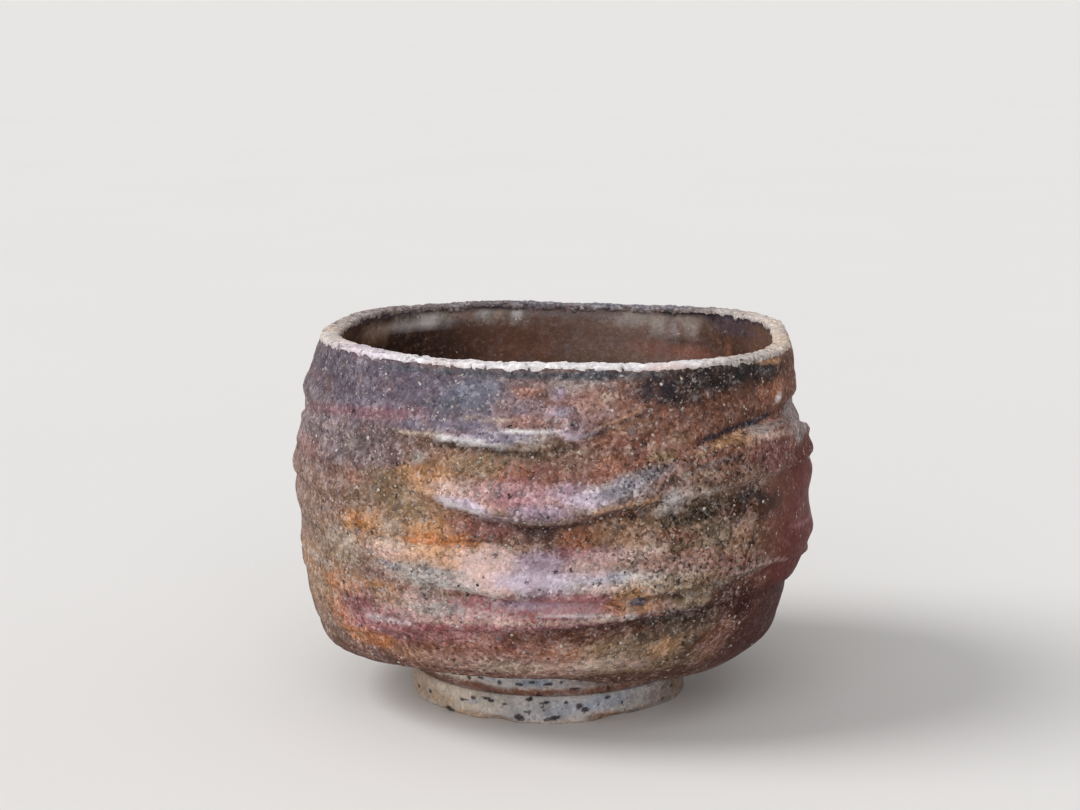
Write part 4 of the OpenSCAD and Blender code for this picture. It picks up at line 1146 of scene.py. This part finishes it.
def bowlUnderside(angle, look):
    # from the nub out to the collar, with trimming marks
    r = np.linspace(look["poleRadius"], collarRadius, look["underRings"])[:, None]
    hollow = softStep((hollowRadius - r) / look["trimmingFade"])
    swirl = look["trimming"] * np.sin(2 * math.pi * (r / look["trimmingGap"] - angle / turn)) * hollow
    nub = cupForm["nubHeight"] * softStep((cupForm["nubRadius"] + half - r) / look["nubFade"])
    return uprightPlace(angle, r, baseZ - nub + swirl - look["trimming"] * hollow)


def bowlOutside(angle, look):
    fades = look["gritFades"]
    t = np.linspace(0, 1, look["wallRings"] + 1)[:, None]
    plain = outerWall(angle, t)
    grit = wallGrit(plain, angle, plain[..., 2], look)
    return outerWall(angle, t, grit * ramp(t / fades["collar"]) * ramp((1 - t) / fades["lip"]))


def bowlInside(angle, look):
    # from the lip down to the floor, with rings closer together near the lip
    fades = look["gritFades"]
    down = np.linspace(0, 1, look["insideRings"]) ** look["insideCrowd"]
    s = (1 - (1 - look["poleShare"]) * down)[:, None]
    plain = insideWall(angle, s)
    rings = np.sin(2 * math.pi * (plain[..., 2] / look["insideGap"] + angle / turn))
    grit = look["insideThrowing"] * rings
    grit += look["dent"] * softNoise(plain, look["dentSize"], noiseSeeds["insideDent"])
    grit += look["grit"] * half * softNoise(plain, look["gritSize"], noiseSeeds["insideGrit"])
    return insideWall(angle, s, grit * ramp((1 - s) / fades["insideLip"]) * ramp(s / fades["floor"]))


def closedBowl(loops):
    # the loops of points, closed by a fan of triangles at the underside and one on the inner floor
    count, around = loops.shape[:2]
    bottom = [[*loops[0, :, :2].mean(0), loops[0, 0, 2]]]
    points = np.concatenate([bottom, loops.reshape(-1, 3), [loops[-1].mean(0)]])
    i = np.arange(around)
    k = (i + 1) % around
    last = len(points) - 1
    inner = last - around
    faces = np.stack([0 * i, 1 + k, 1 + i], 1).tolist()
    faces += bands(count, around, False, 1)
    faces += np.stack([inner + i, inner + k, last + 0 * i], 1).tolist()
    return meshObject("bowlClay", points, faces)


def poled(values, poles):
    return np.concatenate([poles[:1], values.ravel(), poles[1:]])


def ashMask(angle, z, smoothed):
    front = bowlAsh["front"]
    startsAt, fade, least = bowlAsh["low"]
    ash = bowlAsh["least"] + (front["strength"] * bell(z - front["height"], front["tall"])
                              * bell(apart(angle, front["angle"]), front["wide"]))
    ash += sum(strength * bell(apart(angle, a), wide) for strength, a, wide in bowlAsh["sides"])
    ash *= 1 - bowlAsh["smooth"] * smoothed
    ash *= least + (1 - least) * softStep((z - startsAt) / fade)
    return ramp(ash)


def addBowl(look):
    angle = allRound(look["around"])[None, :]
    wall = bowlOutside(angle, look)
    loops = np.concatenate([bowlUnderside(angle, look)[:-1], wall, bowlInside(angle, look)])
    inner = look["underRings"] + look["wallRings"]
    bowl = closedBowl(loops)
    angle = np.broadcast_to(angle, loops.shape[:2])
    z = loops[..., 2]
    patches = outsidePatches[:1] + drawBackPatches(backPatches) + outsidePatches[1:]
    for layer, seed in fireSeeds.items():
        outside = paintColours(loops[:inner], angle[:inner], patches, outsideStreaks, seed)
        inside = paintColours(loops[inner:], angle[inner:], insidePatches, [], seed)
        colour = np.concatenate([outside, inside]).reshape(-1, 3)
        addColour(bowl, layer, np.concatenate([colour[:1], colour, colour[-1:]]))
    zones = [zone(angle, z, wallZones[name]) for name in ("smoothFinish", "rough", "slate")]
    smoothed, rough, slate = zones
    masks = {}
    for name in ("grit", "mottle"):
        f = bowlFinish[name]
        masks[name] = (1 + f["rough"] * rough + f["slate"] * slate) * (1 - f["smooth"] * smoothed)
    reach, fade = bowlFinish["satinEdge"]
    for a, height, wide, tall, share in bowlFinish["satin"]:
        d = np.hypot(apart(angle, a) / wide, (z - height) / tall)
        masks["mottle"] *= 1 - share * softStep((reach - d) / fade)
    for name, mask in masks.items():
        mask[inner:] = bowlFinish[name]["inside"]
        addFloat(bowl, name, poled(mask, bowlFinish[name]["poles"]))
    ash = ashMask(angle, z, smoothed)
    ash[inner:] = bowlAsh["inside"]
    addFloat(bowl, "ash", poled(ash, bowlAsh["poles"]))
    bowl.data.materials.append(firedClay)
    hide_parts("bowl")
    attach(bowl, "root")
    return wall, masks["grit"][look["underRings"] - 1:inner]


wallPoints, wallGritMask = addBowl(bowlLook)
print("bowl made")


# Foot ring and collar, turned on the foot's own axis

footShape = {
    "around": 840,
    "outsideStep": 0.2,
    "insideStep": 0.6,
    "grit": 0.06,
    "gritSize": 1.1,
    "mostGrit": 0.05,
    "dent": 0.07,
    "dentSize": 5.0,
    "chipSize": 2.4,
    "chip": 0.5,
    "chipLeast": 0.1,
    "wornHeight": 1.1,
    "bottomInset": 1.2,
    "topInset": (0.05, 0.2),
    "topDrop": 0.1,
    "hollowGrit": half,
}
collarShape = {
    "groove": ((0.15, -0.02), (0.1, 0.4)),
    "flare": (0.12, 0.6),
}
speckLook = {
    "ragSize": 0.9,
    "rag": 0.45,
    "dark": 0.93,
    "edge": (1.15, 0.3),
}
# rows as on the bowl; the paler cream and tan on the left are lit copies of the foot's colours, painted
# light, and the grey-brown and olive at 66 and 74 degrees are painted shade on the right
footPatches = [
    ("paleStone", 0, 2, 400, 60, 1), ("litFootTan", -70, 2.2, 26, 2.4, 0.7),
    ("litFootCream", -38, 2.4, 20, 2, 0.85), ("greyCream", -22, 3, 10, 1.4, 0.6),
    ("stoneGrey", -2, 1.8, 15, 1.5, 0.7), ("icyBlue", 4, 1.6, 6, 0.9, 0.5),
    ("icyBlue", -32, 2.2, 4, 0.4, 0.5), ("icyBlue", 24, 2.6, 14, 1, 0.8),
    ("greyCream", 38, 1.8, 14, 1.2, 0.7), ("litFootTan", -32, 0.4, 18, 0.5, 0.8),
    ("litFootTan", -50, 1.4, 9, 0.9, 0.7), ("cream", 2, 0.3, 14, 0.35, 0.7), ("ochre", 24, 0.7, 9, 0.7, 0.85),
    ("tan", 40, 0.6, 12, 0.5, 0.6), ("greyBrown", 66, 2.2, 20, 2.4, 0.8), ("olive", 74, 1.6, 16, 2, 0.7),
    ("greyBrown", 150, 2, 40, 2.2, 0.5), ("oliveTan", -130, 2, 40, 2.2, 0.5),
]
# the paler cream on the left is painted light, the dark rust band on the right is painted shade, and the
# thin shadowRed line at the top, where the collar meets the bowl, is painted shadow
collarPatches = [
    ("paleStone", 0, 5, 400, 60, 1), ("litFootCream", -46, 5.4, 22, 1.2, 0.7),
    ("icyBlue", -6, 5.5, 8, 0.6, 0.85), ("icyBlue", -26, 5.5, 6, 0.5, 0.5),
    ("rustDark", 52, 5.4, 40, 1.6, 0.9), ("greyBrown", 150, 5.4, 60, 1.4, 0.7),
    ("greyBrown", -120, 5.4, 40, 1.4, 0.6), ("tan", 0, 4.4, 400, 0.35, 0.6),
    ("rust", 0, 4.05, 400, 0.45, 0.95), ("shadowRed", 0, 6.5, 400, 0.22, 0.6),
]
# dark specks burnt into the foot: angle, height, half width in degrees, half height, climb if any
footSpecks = [
    (-11.7, 0.8, 2.2, 0.42, -0.08), (1.6, 0.8, 3, 0.26, 0.06), (15, 1.8, 1.8, 0.36), (12, 2.4, 1.2, 0.34),
    (-7.8, 3.3, 1.6, 0.28, 0.05), (-9.3, 1.6, 1, 0.22), (-2, 1.9, 1, 0.24), (-25.4, 2.9, 2.2, 0.22, -0.07),
    (-32, 2.7, 1.2, 0.26), (-37, 2.2, 2.6, 0.14, 0.02), (-2, 2.9, 2.2, 0.18, 0.05), (24, 3.2, 1.6, 0.24),
    (20, 2.3, 0.8, 0.2), (7, 2.9, 0.8, 0.2), (-18, 2.5, 1.2, 0.18), (31, 2.1, 0.9, 0.24),
    (-45, 0.4, 2.4, 0.26), (-58, 1.8, 1.2, 0.26), (-70, 1.4, 1.4, 0.3), (62, 2.2, 1.6, 0.3),
    (118, 1.6, 2, 0.5), (140, 2.7, 1.1, 0.3), (171, 2.4, 1.8, 0.4), (-150, 1.2, 1.7, 0.4),
    (-120, 2.4, 1.2, 0.3), (95, 2.8, 1.3, 0.3), (-98, 2, 1.5, 0.25),
]
collarSpecks = [
    (-35, 5.3, 1.6, 0.28), (-29, 5.5, 1.2, 0.26), (-20.6, 5.2, 0.9, 0.34), (-12.1, 5.2, 1.4, 0.26),
    (-7.1, 5.6, 1.6, 0.26), (-0.5, 5.3, 1.8, 0.18), (-40, 5.5, 1.2, 0.26), (10.7, 4.6, 2.4, 0.16),
    (5, 5.6, 0.8, 0.2), (-48, 5.2, 1, 0.26), (60, 5.2, 1.4, 0.3), (120, 5.2, 1.4, 0.3),
    (-140, 5.3, 1.4, 0.3), (175, 5.1, 1.6, 0.3),
]
# how far the bottom edge of the foot is worn away, by angle
footWear = [(-180, 0.1), (-120, 0.3), (-70, 0), (-40, 0), (-28, 0.2), (-24, 0.8), (-21, 1.1), (-17, 0.5),
            (-13, 0), (-8, -0.2), (4, -0.25), (12, 0), (18, 0.2), (24, 0.9), (34, 1), (44, 0.9),
            (54, 0.5), (64, 0), (110, 0.2), (150, 0.5)]


def turned(name, section, look, seed, worn):
    # a closed ring swept from a section of radius, height and side, with its grit
    angle = allRound(look["around"])[None, :]
    r, z, side = [section[:, c][:, None] + 0 * angle for c in range(3)]
    points = uprightPlace(angle, r, z)
    grit = look["grit"] * softNoise(points, look["gritSize"], seed)
    grit += look["dent"] * softNoise(points, look["dentSize"], seed + 1, 2)
    if worn:   # chipped and worn along the bottom edge
        chips = ramp(softNoise(points * [1, 1, 0], look["chipSize"], seed + 2) - look["chipLeast"])
        edge = softStep((look["wornHeight"] - z) / look["wornHeight"]) * softStep(side)
        grit -= look["chip"] * chips * edge
        r = r - edge * smooth(angle, footWear, 1, True)
    r = r + side * np.minimum(grit, look["mostGrit"])
    z = np.maximum(z + (1 - np.abs(side)) * grit, 0)
    points = uprightPlace(angle, r, z).reshape(-1, 3)
    obj = meshObject(name, points, bands(len(section), look["around"], True))
    return obj, points, np.broadcast_to(angle, r.shape).ravel()


def alongSection(corners, look):
    # points along a closed outline of (radius, height, side), side being 1 outside and -1 inside
    rows = []
    for a, b in zip(corners, corners[1:] + corners[:1]):
        step = look["outsideStep"] if a[2] > 0 else look["insideStep"]
        n = max(1, round(math.hypot(b[0] - a[0], b[1] - a[1]) / step))
        rows += [[a[c] + (b[c] - a[c]) * k / n for c in range(3)] for k in range(n)]
    return np.array(rows)


def burntSpecks(points, angle, specks):
    # how much of the clay's colour is left, from one down to nearly nought on a dark speck
    rag = speckLook["rag"] * softNoise(points, speckLook["ragSize"], noiseSeeds["specks"])
    reach, fade = speckLook["edge"]
    left = np.ones(len(angle))
    for a, height, wide, tall, *climb in specks:
        away = apart(angle, a)
        d = np.hypot(away / wide, (points[:, 2] - height - sum(climb) * away) / tall) + rag
        left *= 1 - speckLook["dark"] * softStep((reach - d) / fade)
    return left


def addFootRing(look):
    f = cupForm
    outer = f["footRadius"]
    bottom = outer - f["footTaper"]
    mouth = hollowRadius + f["hollowTaper"]
    bevel = f["footBevel"]
    top = f["footHeight"]
    corners = [(mouth + bevel, 0, 0), (bottom - look["bottomInset"], 0, 0), (bottom - bevel, 0, 1),
               (bottom, bevel, 1), (outer - look["topInset"][0], top - bevel, 1),
               (outer - look["topInset"][1], top - look["topDrop"], 1), (outer - bevel, top, half),
               (hollowRadius, top, -1), (mouth, bevel, -1)]
    ring, points, angle = turned("footRingClay", alongSection(corners, look), look,
                                 noiseSeeds["footRing"], True)
    r = np.hypot(points[:, 0], points[:, 1])
    grit = 1 - look["hollowGrit"] * softStep(hollowRadius + 1 - r)
    finishClay(ring, footClay, "foot_ring", points, angle, footPatches, grit,
               burntSpecks(points, angle, footSpecks))


def addCollar(look, shape):
    waist = collarRadius - cupForm["collarWaist"]
    low = cupForm["footHeight"]
    middle = low + cupForm["collarHeight"] / 2
    flare, rise = shape["flare"]
    corners = [(hollowRadius, low, -1)]
    corners += [(waist - inset, low + up, 1) for inset, up in shape["groove"]]
    corners += [(waist, middle, 1), (waist + flare, middle + rise, 1), (collarRadius, baseZ, 1),
                (hollowRadius, baseZ, -1)]
    collar, points, angle = turned("footCollarClay", alongSection(corners, look), look,
                                   noiseSeeds["collar"], False)
    finishClay(collar, footClay, "foot_collar", points, angle, collarPatches,
               np.ones(len(angle)), burntSpecks(points, angle, collarSpecks))


addFootRing(footShape)
addCollar(footShape, collarShape)
print("foot made")


# Ash crust on the lip

crustShape = {
    "around": 900,
    "steps": 22,
    "outsideReach": 0.3,
    "insideReach": 0.4,
    "leastReach": 0.12,
    "reachWave": 0.62,
    "reachSize": 0.9,
    "skirt": 0.22,
    "skirtSlope": 0.06,
    "thick": 0.12,
    "thickenRate": 3,
    "sink": 0.3,
    "sinkRate": 4,
    "round": 0.7,
    "centreDrop": 0.6,
    "grit": 0.16,
    "gritSize": 1.1,
    "fineGrit": 0.1,
    "fineSize": 0.45,
    "cracks": 0.26,
    "crackGap": 1.9,
    "crackWidth": 0.075,
    # how far the crust is darkened in its cracks: painted shade in the crevices
    "crackShade": 0.75,
}
# rows as on the bowl, with heights on the lip
crustPatches = [
    ("cream", 0, 48, 400, 60, 1), ("white", -4, 49.5, 56, 2.5, 0.95),
    ("lilacGrey", -30, 48.9, 3, 0.5, 0.5), ("slateBlue", -9, 48.3, 2.2, 0.6, 0.6),
    ("slateBlue", 9, 48.6, 1.4, 0.5, 0.6), ("lilacGrey", 16, 48.2, 3, 0.5, 0.5),
    ("pinkCream", 24, 48.8, 5, 0.6, 0.6), ("oliveTan", 32, 48.1, 5, 0.45, 0.6),
    ("pinkCream", -26, 49.2, 4, 0.6, 0.5), ("greyCream", -18, 48.2, 4, 0.5, 0.6),
    ("lilacPale", -50, 49.5, 12, 0.9, 0.6), ("paleStone", -74, 48.8, 14, 1.4, 0.6),
    ("greyCream", 52, 48.6, 16, 0.9, 0.6), ("oliveTan", 58, 47.9, 12, 0.5, 0.7),
    ("ochre", 68, 47.7, 6, 0.5, 0.5), ("greyBrown", -58, 48.3, 14, 0.4, 0.7),
    ("oliveTan", -42, 48.55, 10, 0.25, 0.6), ("cream", -22, 48.5, 8, 0.35, 0.7),
    ("blueGrey", 2, 48.45, 12, 0.25, 0.6), ("oliveTan", 22, 48.3, 14, 0.25, 0.6),
    ("greyCream", 44, 48.9, 10, 0.8, 0.5), ("slateDark", 184, 49, 62, 2, 0.85),
    ("slateBlue", 165, 49.3, 30, 0.8, 0.5), ("paleStone", 108, 48.6, 22, 1.4, 0.6),
    ("haze", 252, 49, 16, 1.2, 0.6), ("slateMauve", -28, 47.4, 20, 0.5, 0.6),
    ("tealBlack", 34, 47.2, 20, 0.5, 0.8),
]


def crustEdge(share, look, halfWall, reach):
    # one side's edge, tucked into the clay at its foot; share runs up it from nought to one
    proud = look["thick"] * min(1, share * look["thickenRate"])
    sunk = look["sink"] * max(0, 1 - share * look["sinkRate"])
    return halfWall + proud - sunk, -reach * (1 - share)


def crustLoop(share, look, halfWall, reachOut, reachIn):
    # a point's way out and up for every angle: up the outside, over the top and down the inside
    skirt = look["skirt"]
    if share < skirt:
        out, up = crustEdge(share / skirt, look, halfWall, reachOut)
        return out - look["skirtSlope"] * up, up
    if share > 1 - skirt:
        out, up = crustEdge((1 - share) / skirt, look, halfWall, reachIn)
        return -out, up
    a = math.pi * (share - skirt) / (1 - 2 * skirt)
    out = (halfWall + look["thick"]) * math.copysign(abs(math.cos(a)) ** look["round"], math.cos(a))
    return out, cupForm["crustThick"] * math.sin(a) ** look["round"] + 0 * halfWall


def addCrust(look):
    angle = allRound(look["around"])
    lip, lipInside = [wall(angle[None, :], np.array([[1.0]]))[0] for wall in (outerWall, insideWall)]
    middle = (lip + lipInside) / 2
    across = (lip - lipInside) / 2
    halfWall = np.linalg.norm(across[:, :2], axis=1)
    outward = across / halfWall[:, None]
    reaches = []
    edges = [(lip, "outsideReach", "crustOutside"), (lipInside, "insideReach", "crustInside")]
    for edge, reach, seed in edges:
        wave = look["reachWave"] * softNoise(edge, look["reachSize"], noiseSeeds[seed])
        reaches.append(np.maximum(look[reach] + wave, look["leastReach"]))
    loops = []
    for share in np.linspace(0, 1, look["steps"]):
        out, up = crustLoop(share, look, halfWall, *reaches)
        loops.append(middle + outward * out[:, None] + np.stack([0 * up, 0 * up, up], 1))
    loops = np.array(loops)
    bump = look["grit"] * softNoise(loops, look["gritSize"], noiseSeeds["crustGrit"])
    bump += look["fineGrit"] * softNoise(loops, look["fineSize"], noiseSeeds["crustFine"], 2)
    # cracks run across the lip
    crack = np.abs(softNoise(loops * [1, 1, 0], look["crackGap"], noiseSeeds["cracks"], 2))
    crack = softStep((look["crackWidth"] - crack) / look["crackWidth"])
    bump -= look["cracks"] * crack
    bump[[0, -1]] = 0
    away = loops - middle + [0, 0, look["centreDrop"]]
    away /= np.linalg.norm(away, axis=2)[..., None]
    points = (loops + away * bump[..., None]).reshape(-1, 3)
    crust = meshObject("lipAshCrust", points, bands(look["steps"], look["around"], True))
    # the crust is darkened in its cracks, towards ink blue: painted shade
    finishClay(crust, ashGlaze, "lip_ash_crust", points, np.tile(angle, look["steps"]),
               crustPatches, np.ones(len(points)), 1 - look["crackShade"] * crack.ravel())


addCrust(crustShape)
print("crust made")


# Grains and specks, scattered over the clay with Geometry Nodes

stoneShape = {
    "sizePower": 3.5,
    "longer": (0.7, 1.3, 3),
    "spin": (0.0, 2 * math.pi, 5),
    "knock": (0.55, 1.25, 11),
    "tone": (0.0, 1.0, 7),
}
grainSizes = {
    "Density": 260000.0, "Smallest": 0.06 * mm, "Largest": 0.25 * mm, "Flatness": 0.45, "Seed": 4}
speckSizes = {
    "Density": 62000.0, "Smallest": 0.08 * mm, "Largest": 0.28 * mm, "Flatness": 0.25, "Seed": 9}


def randomValue(tree, low, high, seed):
    node = addNode(tree, "FunctionNodeRandomValue", {2: low, 3: high, "Seed": seed}, data_type="FLOAT")
    return node.outputs[1]


def scatterTree(name, sizes, material):
    tree = bpy.data.node_groups.new(name, "GeometryNodeTree")
    tree.interface.new_socket("Surface", in_out="INPUT", socket_type="NodeSocketGeometry")
    tree.interface.new_socket("Stones", in_out="OUTPUT", socket_type="NodeSocketGeometry")
    for label, value in sizes.items():
        kind = "NodeSocketInt" if label == "Seed" else "NodeSocketFloat"
        tree.interface.new_socket(label, in_out="INPUT", socket_type=kind).default_value = value
    given = tree.nodes.new("NodeGroupInput").outputs
    grit = addNode(tree, "GeometryNodeInputNamedAttribute", {"Name": "grit"}, data_type="FLOAT")
    drop = addNode(tree, "GeometryNodeDistributePointsOnFaces", {
        "Mesh": given["Surface"],
        "Density": times(tree, grit.outputs["Attribute"], given["Density"]),
        "Seed": given["Seed"]})
    small = calc(tree, "POWER", randomValue(tree, 0.0, 1.0, given["Seed"]), stoneShape["sizePower"])
    wider = less(tree, given["Largest"], given["Smallest"])
    radius = plus(tree, given["Smallest"], times(tree, small, wider))
    scale = addNode(tree, "ShaderNodeCombineXYZ", {
        0: times(tree, radius, randomValue(tree, *stoneShape["longer"])),
        1: radius,
        2: times(tree, radius, given["Flatness"])})
    spin = addNode(tree, "ShaderNodeCombineXYZ", {2: randomValue(tree, *stoneShape["spin"])})
    spin = addNode(tree, "FunctionNodeEulerToRotation", {0: spin.outputs[0]})
    spun = addNode(tree, "FunctionNodeRotateRotation",
                   {0: drop.outputs["Rotation"], 1: spin.outputs[0]}, rotation_space="LOCAL")
    # each corner of the stone is knocked in or out, so that no two stones look alike once spun
    ball = addNode(tree, "GeometryNodeMeshIcoSphere", {"Radius": 1.0, "Subdivisions": 1})
    corner = addNode(tree, "GeometryNodeInputPosition").outputs[0]
    knocked = vectorMath(tree, "SCALE", {0: corner, "Scale": randomValue(tree, *stoneShape["knock"])})
    stone = addNode(tree, "GeometryNodeSetPosition", {"Geometry": ball.outputs[0], "Position": knocked})
    stones = addNode(tree, "GeometryNodeInstanceOnPoints", {
        "Points": drop.outputs["Points"], "Instance": stone.outputs[0],
        "Rotation": spun.outputs[0], "Scale": scale.outputs[0]})
    toned = addNode(tree, "GeometryNodeStoreNamedAttribute",
                    {"Geometry": stones.outputs[0], "Name": "tone",
                     "Value": randomValue(tree, *stoneShape["tone"])},
                    data_type="FLOAT", domain="INSTANCE")
    real = addNode(tree, "GeometryNodeRealizeInstances", {"Geometry": toned.outputs[0]})
    painted = addNode(tree, "GeometryNodeSetMaterial", {"Geometry": real.outputs[0], "Material": material})
    setInputs(tree, tree.nodes.new("NodeGroupOutput"), {"Stones": painted.outputs[0]})
    return tree


def scatter(name, surface, sizes, material):
    tree = scatterTree(name + "Tree", sizes, material)
    modifier = surface.modifiers.new(name, "NODES")
    modifier.node_group = tree
    for item in tree.interface.items_tree:
        if item.in_out == "INPUT" and item.name in sizes:
            modifier[item.identifier] = sizes[item.name]
    graph = bpy.context.evaluated_depsgraph_get()
    mesh = bpy.data.meshes.new_from_object(surface.evaluated_get(graph))
    mesh.name = name
    surface.modifiers.remove(modifier)
    obj = bpy.data.objects.new(name, mesh)
    bpy.context.scene.collection.objects.link(obj)
    print(name, len(mesh.polygons), "faces")
    return obj


def addGrains():
    # the outer wall alone, without the rings next to the collar and under the crust
    low, high = bowlLook["bareRings"]
    span = slice(low, -high)
    points = wallPoints[span]
    surface = meshObject("wallSurface", points.reshape(-1, 3), bands(*points.shape[:2]))
    addFloat(surface, "grit", wallGritMask[span])
    grains = scatter("feldsparGrains", surface, grainSizes, feldspar)
    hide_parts("feldspar_grains")
    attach(grains, "root")
    specks = scatter("ironSpecks", surface, speckSizes, ironSpot)
    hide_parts("iron_specks")
    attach(specks, "root")
    bpy.data.objects.remove(surface)


addGrains()
print("grains made")


# Floor, light and sky

stageLook = {
    "floorSize": 60.0,     # metres
    "floorColour": (0.82, 0.80, 0.78),
    "floorGlow": 0.66,
    "cloudScale": 9.0,
    "cloudDetail": 2.0,
    "cloud": 1.03,
    "roughness": 0.8,
    "specular": 0.1,
    "sky": 0.42,
}
# direction, angle across, energy and colour
suns = {
    "keyLight": ((-0.75, -0.1, 0.75), 32, 1.75, (0.99, 0.99, 1)),
    "frontLight": ((-0.1, -0.9, 0.5), 60, 0.95, (0.96, 0.98, 1)),
}


def seenShare(tree):
    # one where the camera, a reflection or glass looks, nought where light only bounces
    path = addNode(tree, "ShaderNodeLightPath").outputs
    seen = calc(tree, "ADD", path["Is Camera Ray"], path["Is Glossy Ray"], True)
    return calc(tree, "ADD", seen, path["Is Transmission Ray"], True)


def addFloor(look):
    s = look["floorSize"] / mm / 2
    floor = meshObject("floor", [(-s, -s, 0), (s, -s, 0), (s, s, 0), (-s, s, 0)], [(0, 1, 2, 3)], False)
    material, tree, shader, where = newMaterial("paleFloor")
    colour = look["floorColour"]
    paler = tuple(c * look["cloud"] for c in colour)
    bounce = tuple(c * look["floorGlow"] / max(colour) for c in colour)
    cloud = addNode(tree, "ShaderNodeTexNoise", {
        "Vector": where, "Scale": look["cloudScale"], "Detail": look["cloudDetail"]})
    pale = blendColour(tree, cloud.outputs[0], (*colour, 1), (*paler, 1))
    setInputs(tree, shader, {
        "Base Color": blendColour(tree, seenShare(tree), (*bounce, 1), pale),
        "Roughness": look["roughness"],
        "Specular IOR Level": look["specular"]})
    floor.data.materials.append(material)


def addSun(name, towards, angle, energy, colour):
    data = bpy.data.lights.new(name, "SUN")
    data.energy = energy
    data.angle = math.radians(angle)
    data.color = colour
    light = bpy.data.objects.new(name, data)
    light.rotation_euler = Vector(towards).to_track_quat("Z", "Y").to_euler()
    bpy.context.scene.collection.objects.link(light)


def addSky(look):
    world = bpy.data.worlds.new("softSky")
    world.use_nodes = True
    tree = world.node_tree
    strength = addNode(tree, "ShaderNodeMapRange", {0: seenShare(tree), 3: look["sky"], 4: 1.0})
    setInputs(tree, tree.nodes["Background"], {"Color": (1, 1, 1, 1), "Strength": strength.outputs[0]})
    bpy.context.scene.world = world


addFloor(stageLook)
addSky(stageLook)
for name, sun in suns.items():
    addSun(name, *sun)
bpy.context.scene.view_settings.view_transform = "Standard"
print("stage set")
